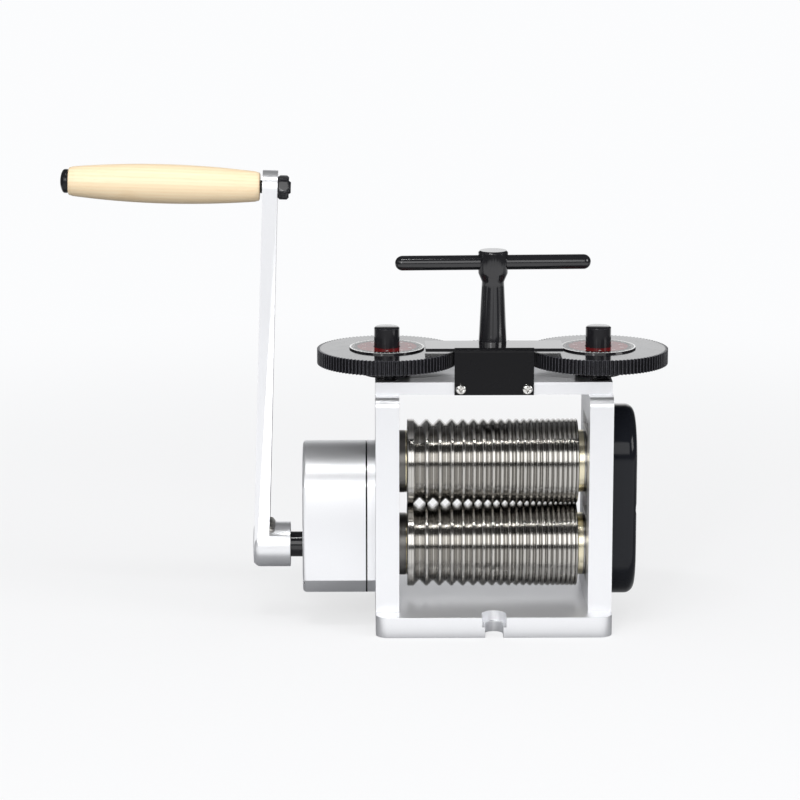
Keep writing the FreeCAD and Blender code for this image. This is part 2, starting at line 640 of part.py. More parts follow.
def gearbox_housing():
    inner_face = GEARBOX_END + GEARBOX_WALL
    outside = rounded(gearbox_form(0, GEARBOX_END, BACK_FACE), GEARBOX_EDGE,
                      lambda edge: near(edge.CenterOfMass.x, GEARBOX_END))
    hollow = gearbox_form(GEARBOX_WALL, inner_face, BACK_FACE)
    bush_end = GEARBOX_END + CRANK_BUSH_LENGTH
    bush_hole = CRANK_SHAFT_RADIUS + RUNNING + CRANK_BUSH_WALL + FITTED
    pin_end = inner_face + PIN_BOSS_HEIGHT
    bosses = [
        rod(BUSH_BOSS_RADIUS, inner_face, bush_end, X_AXIS, (0, LOWER_Z)),
        rod(PIN_BOSS_RADIUS, inner_face, pin_end, X_AXIS, (0, COUNTER_Z)),
    ]
    cutters = [
        rod(bush_hole, GEARBOX_END, bush_end, X_AXIS, (0, LOWER_Z)),
        rod(COUNTER_PIN_RADIUS + FITTED, inner_face - PIN_SEAT, pin_end, X_AXIS, (0, COUNTER_Z)),
    ]
    head_end = GEARBOX_END + FOOT_SCREW_SUNK + GEARBOX_HEAD_HEIGHT
    for place in gearbox_screw_places():
        bosses.append(rod(GEARBOX_POST_RADIUS, inner_face, BACK_FACE, X_AXIS, place))
        cutters.append(rod(M4 + SCREW_HOLE, GEARBOX_END, BACK_FACE, X_AXIS, place))
        cutters.append(rod(GEARBOX_SCREW_HEAD + SCREW_HOLE, GEARBOX_END, head_end, X_AXIS, place))
    return outside.cut(hollow).fuse(bosses).cut(cutters).removeSplitter()


def gearbox_screws():
    head_face = GEARBOX_END + FOOT_SCREW_SUNK
    length = -SIDE_OUTER + SCREW_GRIP - head_face - GEARBOX_HEAD_HEIGHT
    return group(cap_screw(GEARBOX_SCREW_HEAD, GEARBOX_HEAD_HEIGHT, M4, head_face, 1, length, X_AXIS, place)
                 for place in gearbox_screw_places())


def crank_bush():
    outer = CRANK_SHAFT_RADIUS + RUNNING + CRANK_BUSH_WALL
    return tube(outer, CRANK_SHAFT_RADIUS + RUNNING, GEARBOX_END, GEARBOX_END + CRANK_BUSH_LENGTH,
                X_AXIS, (0, LOWER_Z))


def countershaft_pin():
    return rod(COUNTER_PIN_RADIUS, GEARBOX_END + GEARBOX_WALL - PIN_SEAT, -SIDE_OUTER - RUNNING,
               X_AXIS, (0, COUNTER_Z))


def gearbox_gear(teeth, tooth_at, start, end, axis_z):
    """One of the gearbox's gears, with standard teeth."""
    return spur(teeth, GEARBOX_MODULE, GEARBOX_MODULE, DEDENDUM_SHARE * GEARBOX_MODULE, GEARBOX_BACKLASH,
                tooth_at, start, end, X_AXIS, (0, axis_z), steps=2)


def countershaft_gear():
    """The counter gear and its pinion, cut from one blank. Each has a gap straight below or a tooth there."""
    gap_below = 270 + 180 / COUNTER_GEAR_TEETH
    pin_boss_end = GEARBOX_END + GEARBOX_WALL + PIN_BOSS_HEIGHT
    end = BACK_FACE - GEAR_END_PLAY
    hub = COUNTER_PIN_RADIUS + RUNNING + COUNTER_HUB_WALL
    blank = gearbox_gear(COUNTER_GEAR_TEETH, gap_below, COUNTER_GEAR_START, COUNTER_GEAR_END, COUNTER_Z)
    pinion = gearbox_gear(COUNTER_PINION_TEETH, 270, DRIVEN_GEAR_START - COUNTER_PINION_SPARE, end, COUNTER_Z)
    sleeve = rod(hub, pin_boss_end + GEAR_END_PLAY, end, X_AXIS, (0, COUNTER_Z))
    bore = rod(COUNTER_PIN_RADIUS + RUNNING, pin_boss_end, BACK_FACE, X_AXIS, (0, COUNTER_Z))
    return blank.fuse([pinion, sleeve]).cut(bore).removeSplitter()


def driven_gear():
    gap_above = 90 + 180 / DRIVEN_GEAR_TEETH
    blank = gearbox_gear(DRIVEN_GEAR_TEETH, gap_above, DRIVEN_GEAR_START, DRIVEN_GEAR_END, LOWER_Z)
    return seated_gear(blank, DRIVEN_GEAR_START, DRIVEN_GEAR_END, LOWER_Z)


# ---- crank -------------------------------------------------------------------------------------
def set_screw_x():
    return BOSS_START - (BOSS_LENGTH - BOSS_FLOOR) / 2


def crank_shaft():
    """The shaft with its pinion, an inner spigot that runs in the lower roll's end, and a set screw flat."""
    pinion_end = COUNTER_GEAR_END + (PINION_FACE - GEAR_FACE) / 2
    pinion = gearbox_gear(CRANK_PINION_TEETH, 90, pinion_end - PINION_FACE, pinion_end, LOWER_Z)
    outer_end = BOSS_END + BOSS_FLOOR + FITTED
    bar = rod(CRANK_SHAFT_RADIUS, outer_end, pinion_end, X_AXIS, (0, LOWER_Z))
    spigot = rod(SPIGOT_RADIUS, pinion_end, pinion_end + SPIGOT_LENGTH, X_AXIS, (0, LOWER_Z))
    flat_y = CRANK_SHAFT_RADIUS - SET_SCREW_SINK
    flat = box((set_screw_x() - 2 * M5, set_screw_x() + 2 * M5), (flat_y, 2 * CRANK_SHAFT_RADIUS),
               (LOWER_Z - CRANK_SHAFT_RADIUS, LOWER_Z + CRANK_SHAFT_RADIUS))
    return bar.fuse([pinion, spigot]).cut(flat).removeSplitter()


def arm_bar():
    """The flat arm: a tapered bar with round ends, upright before it is leaned."""
    low, high = LOWER_Z, GRIP_Z
    root, tip = ARM_ROOT_WIDTH / 2, ARM_TIP_WIDTH / 2
    x = ARM_X - ARM_THICKNESS / 2
    edges = [
        Part.Arc(V(x, -root, low), V(x, 0, low - root), V(x, root, low)).toShape(),
        Part.LineSegment(V(x, root, low), V(x, tip, high)).toShape(),
        Part.Arc(V(x, tip, high), V(x, 0, high + tip), V(x, -tip, high)).toShape(),
        Part.LineSegment(V(x, -tip, high), V(x, -root, low)).toShape(),
    ]
    bar = Part.Face(Part.Wire(edges)).extrude(V(ARM_THICKNESS, 0, 0))
    hole = rod(M6 + FITTED, ARM_X - ARM_THICKNESS, ARM_X + ARM_THICKNESS, X_AXIS, (0, GRIP_Z))
    return leaned(bar.cut(hole))


def crank_arm():
    """The arm with the boss that is welded to its foot, bored for the shaft and the set screw."""
    boss = rounded(rod(BOSS_RADIUS, BOSS_END, BOSS_START, X_AXIS, (0, LOWER_Z)), BOSS_EDGE,
                   lambda edge: near(edge.CenterOfMass.x, BOSS_END))
    bore = rod(CRANK_SHAFT_RADIUS + FITTED, BOSS_END + BOSS_FLOOR, BOSS_START, X_AXIS, (0, LOWER_Z))
    tapped = rod(M5 + FITTED, 0, BOSS_RADIUS, Y_AXIS, (set_screw_x(), LOWER_Z))
    return boss.fuse(arm_bar()).cut([bore, tapped]).removeSplitter()


def crank_set_screw():
    tip = CRANK_SHAFT_RADIUS - SET_SCREW_SINK + FITTED
    centre = (set_screw_x(), LOWER_Z)
    head = BOSS_RADIUS - FOOT_SCREW_SUNK
    socket = hexagon(M5 * HEX_SOCKET_SHARE, head - SOCKET_DEPTH, head, Y_AXIS, centre)
    return rod(M5, tip, head, Y_AXIS, centre).cut(socket)


def handle_bolt():
    """A domed bolt through the grip, the arm and the nut."""
    grip_outer = ARM_X - ARM_THICKNESS / 2 - GRIP_GAP - GRIP_LENGTH
    head_end = grip_outer - GRIP_CLEARANCE
    tail = ARM_X + ARM_THICKNESS / 2 + NUT_HEIGHT + BOLT_TAIL
    rim = head_end - BOLT_HEAD_RIM
    dome = BOLT_HEAD_HEIGHT - BOLT_HEAD_RIM
    outline = [(rim - height * dome, radius * BOLT_HEAD_RADIUS) for height, radius in BOLT_DOME]
    outline += [(rim, BOLT_HEAD_RADIUS), (head_end, BOLT_HEAD_RADIUS), (head_end, M6), (tail, M6)]
    return leaned(turned(outline, X_AXIS, (0, GRIP_Z)))


def handle_nut():
    start = ARM_X + ARM_THICKNESS / 2
    nut = hexagon(NUT_WIDTH / math.sqrt(3), start, start + NUT_HEIGHT, X_AXIS, (0, GRIP_Z))
    return leaned(nut.cut(rod(M6 + FITTED, start, start + NUT_HEIGHT, X_AXIS, (0, GRIP_Z))))


def wooden_grip():
    """A turned grip that spins on the bolt: a barrel in short tapers, fullest in the middle."""
    inner = ARM_X - ARM_THICKNESS / 2 - GRIP_GAP
    outline = []
    for step in range(GRIP_STEPS + 1):
        share = step / GRIP_STEPS
        end_radius = GRIP_INNER_RADIUS if share < 0.5 else GRIP_OUTER_RADIUS
        swell = (GRIP_MIDDLE_RADIUS - end_radius) * (1 - (2 * share - 1) ** 2)
        outline.append((inner - share * GRIP_LENGTH, end_radius + swell))
    bore = rod(M6 + GRIP_CLEARANCE, inner - GRIP_LENGTH, inner, X_AXIS, (0, GRIP_Z))
    return leaned(turned(outline, X_AXIS, (0, GRIP_Z)).cut(bore))


# ---- screw-down --------------------------------------------------------------------------------
def screw_flat(side, low, high, spare=0.0):
    """The block that cuts the driving flat at the rear of a pressure screw's head."""
    face = PRESSURE_SCREW_RADIUS - SCREW_FLAT + spare
    x = side * SCREW_X
    return box((x - DIAL_RADIUS, x + DIAL_RADIUS), (face, DIAL_RADIUS), (low, high))


def pressure_screw(side):
    """A thread through the top plate and the bridge, under a thicker head that is keyed to its gear."""
    tip = UPPER_Z + BLOCK_HEIGHT / 2 + RUNNING
    top = DIAL_GEAR_TOP + SCREW_STUB
    shoulder = PLATE_TOP + 2 * RUNNING
    outline = [
        (tip, PRESSURE_SCREW_THREAD), (shoulder, PRESSURE_SCREW_THREAD),
        (shoulder, PRESSURE_SCREW_RADIUS), (top, PRESSURE_SCREW_RADIUS),
    ]
    flat = screw_flat(side, shoulder, top)
    return turned(outline, Z_AXIS, (side * SCREW_X, 0)).cut(flat)


def fine_gear(teeth, tooth_at, top, centre):
    return spur(teeth, FINE_MODULE, FINE_MODULE, DEDENDUM_SHARE * FINE_MODULE, FINE_BACKLASH, tooth_at,
                GEAR_BOTTOM, top, Z_AXIS, centre)


def dial_gear(side):
    """A gear on a pressure screw, with a gap between two teeth facing the centre gear."""
    centre = (side * SCREW_X, 0)
    facing = 0 if side == LEFT else 180
    blank = fine_gear(DIAL_GEAR_TEETH, facing + 180 / DIAL_GEAR_TEETH, DIAL_GEAR_TOP, centre)
    hub = rod(DIAL_HUB_RADIUS, PLATE_TOP + RUNNING, GEAR_BOTTOM, Z_AXIS, centre)
    bore = rod(PRESSURE_SCREW_RADIUS + RUNNING, PLATE_TOP, DIAL_GEAR_TOP, Z_AXIS, centre)
    keyed = bore.cut(screw_flat(side, PLATE_TOP, DIAL_GEAR_TOP, RUNNING))
    return blank.fuse(hub).cut(keyed).removeSplitter()


def dial(side):
    inner = PRESSURE_SCREW_RADIUS + SCREW_HOLE
    top = DIAL_GEAR_TOP + DIAL_THICKNESS
    return tube(DIAL_RADIUS, inner, DIAL_GEAR_TOP, top, Z_AXIS, (side * SCREW_X, 0))


def centre_gear():
    """The gear on the T-handle's spindle, with teeth facing both dial gears."""
    blank = fine_gear(CENTRE_GEAR_TEETH, 0, CENTRE_GEAR_TOP, (0, 0))
    hub = rod(CENTRE_HUB_RADIUS, PLATE_TOP + RUNNING, GEAR_BOTTOM, Z_AXIS)
    bore = rod(SPINDLE_RADIUS + FITTED, PLATE_TOP, CENTRE_GEAR_TOP, Z_AXIS)
    tapped = rod(M4 + FITTED, -CENTRE_HUB_RADIUS, 0, Y_AXIS, (0, PLATE_TOP + GEAR_HUB_HEIGHT / 2))
    return blank.fuse(hub).cut([bore, tapped]).removeSplitter()


def centre_gear_set_screw():
    centre = (0, PLATE_TOP + GEAR_HUB_HEIGHT / 2)
    head = -CENTRE_HUB_RADIUS + FOOT_SCREW_SUNK
    socket = hexagon(M4 * HEX_SOCKET_SHARE, head, head + SOCKET_DEPTH, Y_AXIS, centre)
    return rod(M4, head, -SPINDLE_RADIUS - FITTED, Y_AXIS, centre).cut(socket)


# ---- T-handle ----------------------------------------------------------------------------------
def tee_spindle():
    """The spindle: plain in the top plate and the gear, then a slender cone and a head bored for the bar."""
    groove_top = SIDE_TOP - 2 * RUNNING
    groove_low = groove_top - RING_THICKNESS - RUNNING
    neck = CENTRE_GEAR_TOP + SPINDLE_NECK_HEIGHT
    outline = [
        (groove_low - SPINDLE_TAIL, SPINDLE_RADIUS), (groove_low, SPINDLE_RADIUS),
        (groove_low, SPINDLE_RADIUS - RING_GROOVE), (groove_top, SPINDLE_RADIUS - RING_GROOVE),
        (groove_top, SPINDLE_RADIUS), (CENTRE_GEAR_TOP, SPINDLE_RADIUS),
        (CENTRE_GEAR_TOP, SPINDLE_FOOT_RADIUS), (neck, SPINDLE_NECK_RADIUS),
        (neck + SPINDLE_SHOULDER, SPINDLE_HEAD_RADIUS), (SPINDLE_TOP - SPINDLE_EDGE, SPINDLE_HEAD_RADIUS),
        (SPINDLE_TOP, SPINDLE_HEAD_RADIUS - SPINDLE_EDGE),
    ]
    bar_hole = rod(TEE_BAR_RADIUS + FITTED, -SPINDLE_HEAD_RADIUS, SPINDLE_HEAD_RADIUS, X_AXIS,
                   (0, SPINDLE_TOP - TEE_BAR_DROP))
    bar_hole.rotate(V(0, 0, 0), Z_AXIS, TEE_BAR_TURN)
    return turned(outline, Z_AXIS).cut(bar_hole)


def spindle_ring():
    return retaining_ring(SPINDLE_RADIUS, SIDE_TOP - 2 * RUNNING - RING_THICKNESS, Z_AXIS, (0, 0))


def tee_bar():
    """The cross bar, with a domed end each side."""
    z = SPINDLE_TOP - TEE_BAR_DROP
    half, radius = TEE_BAR_LENGTH / 2, TEE_BAR_RADIUS
    slant = radius * math.sqrt(0.5)
    straight = half - radius
    edges = []
    for side in (LEFT, RIGHT):
        edges.append(Part.Arc(V(side * half, 0, z), V(side * (straight + slant), 0, z + slant),
                              V(side * straight, 0, z + radius)).toShape())
    edges.append(Part.LineSegment(V(-straight, 0, z + radius), V(straight, 0, z + radius)).toShape())
    edges.append(Part.LineSegment(V(half, 0, z), V(-half, 0, z)).toShape())
    bar = spun(Part.__sortEdges__(edges), X_AXIS, (0, z))
    bar.rotate(V(0, 0, 0), Z_AXIS, TEE_BAR_TURN)
    return bar


# ---- gear guard --------------------------------------------------------------------------------
def guard_screw_x():
    return FLAP_WIDTH / 2 - GUARD_SCREW_INSET


def guard_screw_z():
    return (SIDE_TOP + PLATE_TOP) / 2


def gear_guard():
    """A bent sheet: a flap on the top plate's front face and a lip over the gears' teeth."""
    front, back = PLATE_FRONT - SHEET, PLATE_FRONT
    top = CENTRE_GEAR_TOP + GUARD_GAP + SHEET
    flap = box((-FLAP_WIDTH / 2, FLAP_WIDTH / 2), (front, back), (SIDE_TOP, top))
    lip = box((-LIP_WIDTH / 2, LIP_WIDTH / 2), (front, front + LIP_DEPTH), (top - SHEET, top))
    sheet = flap.fuse(lip).removeSplitter()
    sheet = rounded(sheet, GUARD_BEND, lambda edge: runs_along(edge, X_AXIS)
                    and near(edge.CenterOfMass.z, top) and near(edge.CenterOfMass.y, front))
    holes = [rod(M3 + SCREW_HOLE, front, back, Y_AXIS, (side * guard_screw_x(), guard_screw_z()))
             for side in (LEFT, RIGHT)]
    return sheet.cut(holes)


def guard_screws():
    """Two pan-head screws with crossed slots."""
    face = PLATE_FRONT - SHEET
    crown = face - PAN_HEAD_HEIGHT
    rim = face - PAN_HEAD_RIM
    long, short = CROSS_SLOT_LENGTH / 2, CROSS_SLOT_WIDTH / 2

    def screw(side):
        x, z = centre = (side * guard_screw_x(), guard_screw_z())
        outline = [
            (crown, PAN_HEAD_RADIUS + crown - rim), (rim, PAN_HEAD_RADIUS), (face, PAN_HEAD_RADIUS),
            (face, M3), (PLATE_FRONT + GUARD_SCREW_LENGTH, M3),
        ]
        slots = [box((x - across, x + across), (crown, crown + CROSS_SLOT_DEPTH), (z - up, z + up))
                 for across, up in ((long, short), (short, long))]
        return turned(outline, Y_AXIS, centre).cut(slots)

    return group(screw(side) for side in (LEFT, RIGHT))


# ---- the assembly ------------------------------------------------------------------------------
def nodes():
    made = {
        "base_plate": base_plate(),
        "side_plate_screws": side_plate_screws(),
        "top_plate": top_plate(),
        "top_plate_screws": top_plate_screws(),
        "gear_guard": gear_guard(),
        "guard_screws": guard_screws(),
        "upper_roll": upper_roll(),
        "lower_roll": lower_roll(),
        "upper_roll_gear": roll_gear(UPPER_Z, 270 + 180 / ROLL_GEAR_TEETH),
        "lower_roll_gear": roll_gear(LOWER_Z, 90),
        "upper_gear_ring": gear_ring(ROLL_GEAR_END, UPPER_Z),
        "lower_gear_ring": gear_ring(ROLL_GEAR_END, LOWER_Z),
        "gear_cover": gear_cover(),
        "gear_cover_screws": gear_cover_screws(),
        "gearbox_back_plate": gearbox_back_plate(),
        "gearbox_housing": gearbox_housing(),
        "gearbox_screws": gearbox_screws(),
        "crank_bush": crank_bush(),
        "countershaft_pin": countershaft_pin(),
        "countershaft_gear": countershaft_gear(),
        "driven_gear": driven_gear(),
        "driven_gear_ring": gear_ring(DRIVEN_GEAR_START - RING_THICKNESS, LOWER_Z),
        "crank_shaft": crank_shaft(),
        "crank_arm": crank_arm(),
        "crank_set_screw": crank_set_screw(),
        "handle_bolt": handle_bolt(),
        "handle_nut": handle_nut(),
        "wooden_grip": wooden_grip(),
        "tee_spindle": tee_spindle(),
        "tee_bar": tee_bar(),
        "spindle_ring": spindle_ring(),
        "centre_gear": centre_gear(),
        "centre_gear_set_screw": centre_gear_set_screw(),
    }
    for side, word in ((LEFT, "left"), (RIGHT, "right")):
        made[word + "_side_plate"] = side_plate(side)
        made["lower_" + word + "_block"] = bearing_block(side, LOWER_Z, 1)
        made["upper_" + word + "_block"] = bearing_block(side, UPPER_Z, -1)
        made["lower_" + word + "_bush"] = bush(side, LOWER_Z)
        made["upper_" + word + "_bush"] = bush(side, UPPER_Z)
        made[word + "_lift_spring"] = lift_spring(side)
        made[word + "_pressure_screw"] = pressure_screw(side)
        made[word + "_dial_gear"] = dial_gear(side)
        made[word + "_dial"] = dial(side)
    return made


def main():
    os.makedirs("parts", exist_ok=True)
    for name, shape in nodes().items():
        shape.exportStep(os.path.join("parts", name + ".step"))


if __name__ == "__main__":
    main()
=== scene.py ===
import json
import math

import bmesh
import bpy
from mathutils import Matrix, Vector


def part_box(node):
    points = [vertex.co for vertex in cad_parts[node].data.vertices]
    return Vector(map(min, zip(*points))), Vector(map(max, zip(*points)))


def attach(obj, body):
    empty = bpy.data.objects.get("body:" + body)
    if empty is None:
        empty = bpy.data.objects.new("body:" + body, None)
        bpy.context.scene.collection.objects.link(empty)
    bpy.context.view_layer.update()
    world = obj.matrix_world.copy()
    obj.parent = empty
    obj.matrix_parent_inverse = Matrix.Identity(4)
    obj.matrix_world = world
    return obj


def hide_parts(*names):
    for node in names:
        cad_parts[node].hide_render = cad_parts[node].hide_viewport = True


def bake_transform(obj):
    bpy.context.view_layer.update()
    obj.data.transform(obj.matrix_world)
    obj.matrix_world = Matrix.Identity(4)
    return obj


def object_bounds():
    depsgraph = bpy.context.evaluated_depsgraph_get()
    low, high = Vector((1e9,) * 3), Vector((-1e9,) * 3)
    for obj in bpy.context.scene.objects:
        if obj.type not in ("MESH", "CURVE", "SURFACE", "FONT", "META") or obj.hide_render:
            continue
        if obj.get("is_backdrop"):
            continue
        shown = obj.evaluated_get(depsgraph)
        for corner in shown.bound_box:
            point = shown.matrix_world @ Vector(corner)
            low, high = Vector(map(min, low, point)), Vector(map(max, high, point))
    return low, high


bl_info = {
    "name": "Jewellers rolling mill",
    "version": (1, 0, 0),
    "blender": (4, 5, 0),
    "location": "View3D > Sidebar > Rolling mill",
    "description": "Dresses a hand-cranked rolling mill: rolls, castings, gears, screws, crank and studio",
    "category": "Object",
}

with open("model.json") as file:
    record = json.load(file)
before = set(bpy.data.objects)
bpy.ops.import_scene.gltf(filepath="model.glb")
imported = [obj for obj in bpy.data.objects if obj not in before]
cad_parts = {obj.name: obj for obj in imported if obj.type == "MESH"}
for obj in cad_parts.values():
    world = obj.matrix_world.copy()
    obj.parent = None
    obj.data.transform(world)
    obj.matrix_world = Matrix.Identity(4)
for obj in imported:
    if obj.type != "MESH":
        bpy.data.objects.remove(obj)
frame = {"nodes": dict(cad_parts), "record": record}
CAD_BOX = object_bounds()

MM = 0.001
FULL_TURN = 2 * math.pi
ORIGIN = Vector((0, 0, 0))
X_AXIS, Y_AXIS, Z_AXIS = Vector((1, 0, 0)), Vector((0, 1, 0)), Vector((0, 0, 1))


# ---- settings ----------------------------------------------------------------------------------
def length(name, description, millimetres):
    return bpy.props.FloatProperty(name=name, description=description, default=millimetres * MM, min=0.0,
                                   precision=5, unit="LENGTH", subtype="DISTANCE")


def colour(name, description, default):
    return bpy.props.FloatVectorProperty(name=name, description=description, default=default, size=3, min=0.0,
                                         max=1.0, subtype="COLOR")


def number(name, description, default, low=0.0, high=1000.0):
    return bpy.props.FloatProperty(name=name, description=description, default=default, min=low, max=high)


def count(name, description, default, low=1):
    return bpy.props.IntProperty(name=name, description=description, default=default, min=low)


def turn(name, description, degrees):
    return bpy.props.FloatProperty(name=name, description=description, default=math.radians(degrees),
                                   subtype="ANGLE")


class MillRollSettings(bpy.types.PropertyGroup):
    """Sizes of the grooved rolls."""
    radius: length("Radius", "Radius of a roll over its crests", 20.0)
    half_width: length("Half width", "Half the width of a roll's barrel", 40.0)
    first_groove: length("First groove", "Width of the widest V groove, at the left", 5.65)
    groove_ratio: number("Groove ratio", "Width of each groove over that of the one before", 0.9176, 0.5, 1.0)
    crest: length("Crest land", "Plain land left between two grooves", 0.95)
    bottom: number("Groove bottom", "Flat at a groove's bottom as a share of its width", 0.07, 0.0, 0.5)
    left_land: length("Left land", "Plain land before the first groove", 2.5)
    grooves: count("Grooves", "Number of grooves on each roll", 21)
    segments: count("Segments", "Faces round a roll", 144, 12)
    journal: length("Journal radius", "Radius of the shaft that runs in a bush", 10.0)
    gear_seat: length("Gear seat radius", "Radius of the shaft that carries a gear", 8.0)
    shaft_chamfer: length("Shaft chamfer", "Chamfer on the ends of the shaft", 0.5)
    end_chamfer: length("End chamfer", "Chamfer on the ends of the barrel", 0.35)


class MillDetailSettings(bpy.types.PropertyGroup):
    """Sizes of edges, threads, springs, sheet metal and dials."""
    casting_edge: length("Casting edge", "Rounding on the edges of the plates and castings", 0.35)
    machined_edge: length("Machined edge", "Chamfer on the edges of machined pieces", 0.25)
    tooth_edge: length("Tooth edge", "Chamfer on the teeth of the fine gears", 0.12)
    thread_pitch: length("Thread pitch", "Pitch of the pressure screws", 1.25)
    # painted shade: width of the dark band that stands in for the shaded seam round the gearbox
    gasket: length("Gasket", "Width of the dark seam round the gearbox", 0.75)
    sheet: length("Guard sheet", "Thickness of the guard's sheet", 1.5)
    guard_bend: length("Guard bend", "Outer radius of the bend of the guard's flap", 2.2)
    flap_width: length("Flap width", "Width of the guard's flap", 36.8)
    lip_depth: length("Lip depth", "Depth of the guard's lip over the gears", 19.8)
    lip_notch: length("Lip notch", "Clearance of the notch round the spindle", 0.5)
    spring_wire: length("Spring wire", "Radius of a lift spring's wire", 0.55)
    spring_turns: number("Spring turns", "Turns of a lift spring", 5.0, 1.0, 20.0)
    dial_divisions: count("Dial divisions", "Graduations round a dial", 50, 4)
    dial_numbers: count("Dial numbers", "Numbers round a dial", 10, 2)
    weld_bead: length("Weld bead", "Radius of the crank weld's beads", 2.2)
    grip_rings: count("Grip rings", "Rings of faces along the wooden grip", 40, 8)


class MillColourSettings(bpy.types.PropertyGroup):
    """Colours of the finishes."""
    silver: colour("Silver", "Satin finish of the plates, the gearbox and the crank", (0.86, 0.866, 0.886))
    ground_steel: colour("Ground steel", "Rolls, shafts and bearing blocks", (0.47, 0.457, 0.434))
    spring_steel: colour("Spring steel", "Springs and retaining rings", (0.42, 0.42, 0.43))
    bronze: colour("Bronze", "Bushes", (0.86, 0.79, 0.58))
    black_oxide: colour("Black oxide", "Gears, screws and the T-handle", (0.012, 0.012, 0.014))
    guard: colour("Guard black", "Satin paint on the gear guard", (0.006, 0.006, 0.007))
    plastic: colour("Black plastic", "Moulded cover of the roll gears", (0.008, 0.009, 0.012))
    nickel: colour("Nickel", "Cross-head screws", (0.78, 0.77, 0.75))
    dial_red: colour("Dial red", "Middle of the dials", (0.16, 0.008, 0.008))
    dial_white: colour("Dial white", "Rim and print of the dials", (0.86, 0.86, 0.85))
    wood_light: colour("Light wood", "Early wood of the grip", (0.90, 0.73, 0.49))
    wood_dark: colour("Dark wood", "Late wood of the grip", (0.80, 0.57, 0.33))


class MillStudioSettings(bpy.types.PropertyGroup):
    """Floor, lamps and camera."""
    floor: colour("Floor", "Floor and backdrop", (0.27, 0.272, 0.278))
    front_power: number("Front lamp", "Power of the wide softbox above the camera, in watts", 26.0)
    key_power: number("Key lamp", "Power of the narrow upright lamp at the left of the camera, in watts", 5.5)
    right_power: number("Right lamp", "Power of the lamp at the right, in watts", 10.0)
    left_power: number("Left lamp", "Power of the lamp at the left, in watts", 2.5)
    top_power: number("Top lamp", "Power of the strip over the rolls, in watts", 2.2)
    room: number("Room", "Brightness of the world on dull surfaces", 0.70, 0.0, 1.0)
    dark_room: number("Dark room", "Brightness of the world that polished metal mirrors", 0.05, 0.0, 1.0)
    camera: bpy.props.FloatVectorProperty(
        name="Camera", description="Place of the camera", default=(-0.05979, -1.44279, 0.40920),
        size=3, unit="LENGTH", subtype="TRANSLATION")
    yaw: turn("Yaw", "Turn of the camera to the right of the Y axis", 0.653)
    pitch: turn("Pitch", "Tilt of the camera below the horizon", 11.918)
    lens: number("Lens", "Focal length in millimetres on a 36 mm frame", 141.24, 1.0, 1000.0)


# ---- node trees --------------------------------------------------------------------------------
class Value:
    """What a socket gives. Sums, products, powers and the like of values are Math nodes."""

    def __init__(self, tree, socket):
        self.tree = tree
        self.socket = socket


def fill(tree, node, inputs):
    """Links a value to each named input of a node, or sets a plain number or colour there."""
    for key, value in inputs.items():
        if isinstance(value, Value):
            tree.links.new(value.socket, node.inputs[key])
        else:
            node.inputs[key].default_value = value
    return node


def add(tree, kind, inputs, output=0, **settings):
    """The value at an output of a new node of this kind, made with these settings and inputs."""
    node = tree.nodes.new(kind)
    for key, value in settings.items():
        setattr(node, key, value)
    return Value(tree, fill(tree, node, inputs).outputs[output])


def maths(tree, operation, *values):
    return add(tree, "ShaderNodeMath", dict(enumerate(values)), operation=operation)


for sign, name in (("add", "ADD"), ("sub", "SUBTRACT"), ("mul", "MULTIPLY"), ("truediv", "DIVIDE"),
                   ("pow", "POWER"), ("mod", "MODULO")):
    setattr(Value, f"__{sign}__", lambda one, other, name=name: maths(one.tree, name, one, other))
    setattr(Value, f"__r{sign}__", lambda one, other, name=name: maths(one.tree, name, other, one))


def ramp(value, start, end, low=0.0, high=1.0, kind="LINEAR"):
    """Goes from low to high while a value goes from start to end."""
    inputs = {"Value": value, "From Min": start, "From Max": end, "To Min": low, "To Max": high}
    return add(value.tree, "ShaderNodeMapRange", inputs, "Result", interpolation_type=kind)


def noise(place, scale, detail, roughness=0.5, distortion=0.0):
    inputs = {"Vector": place, "Scale": scale, "Detail": detail, "Roughness": roughness,
              "Distortion": distortion}
    return add(place.tree, "ShaderNodeTexNoise", inputs, "Fac")


def stretched(place, scale=(1.0, 1.0, 1.0), location=(0.0, 0.0, 0.0), rotation=(0.0, 0.0, 0.0)):
    return add(place.tree, "ShaderNodeMapping", {
        "Vector": place, "Scale": scale, "Location": location, "Rotation": rotation}, "Vector")


def part_of(place, axis):
    return add(place.tree, "ShaderNodeSeparateXYZ", {"Vector": place}, axis)


def joined_axes(tree, **parts):
    return add(tree, "ShaderNodeCombineXYZ", parts, "Vector")


def mixed(share, first, second):
    return add(share.tree, "ShaderNodeMix", {0: share, 6: first, 7: second}, 2, data_type="RGBA")


def once(build):
    """Keeps what a builder makes, so that each tree and material is built once."""
    made = {}

    def get(*given):
        if given not in made:
            made[given] = build(*given)
        return made[given]
    return get


def group(name, kind, inputs, outputs):
    """Turns a formula into a node group. It gets the tree and the inputs, and gives a value for each output.

    An input's default is a number, or the name of a kind of socket that has no plain default.
    """
    def kind_of(default):
        plain = {float: "Float", int: "Int"}.get(type(default))
        return "NodeSocket" + (plain or default)

    def wrap(formula):
        @once
        def build():
            tree = bpy.data.node_groups.new(name, kind)
            for way, sockets in (("INPUT", inputs), ("OUTPUT", outputs)):
                for label, default in sockets.items():
                    socket = tree.interface.new_socket(name=label, in_out=way, socket_type=kind_of(default))
                    if not isinstance(default, str):
                        socket.default_value = default
            start = tree.nodes.new("NodeGroupInput").outputs
            given = {label: Value(tree, start[label]) for label in inputs}
            fill(tree, tree.nodes.new("NodeGroupOutput"), formula(tree, given))
            return tree
        return build
    return wrap


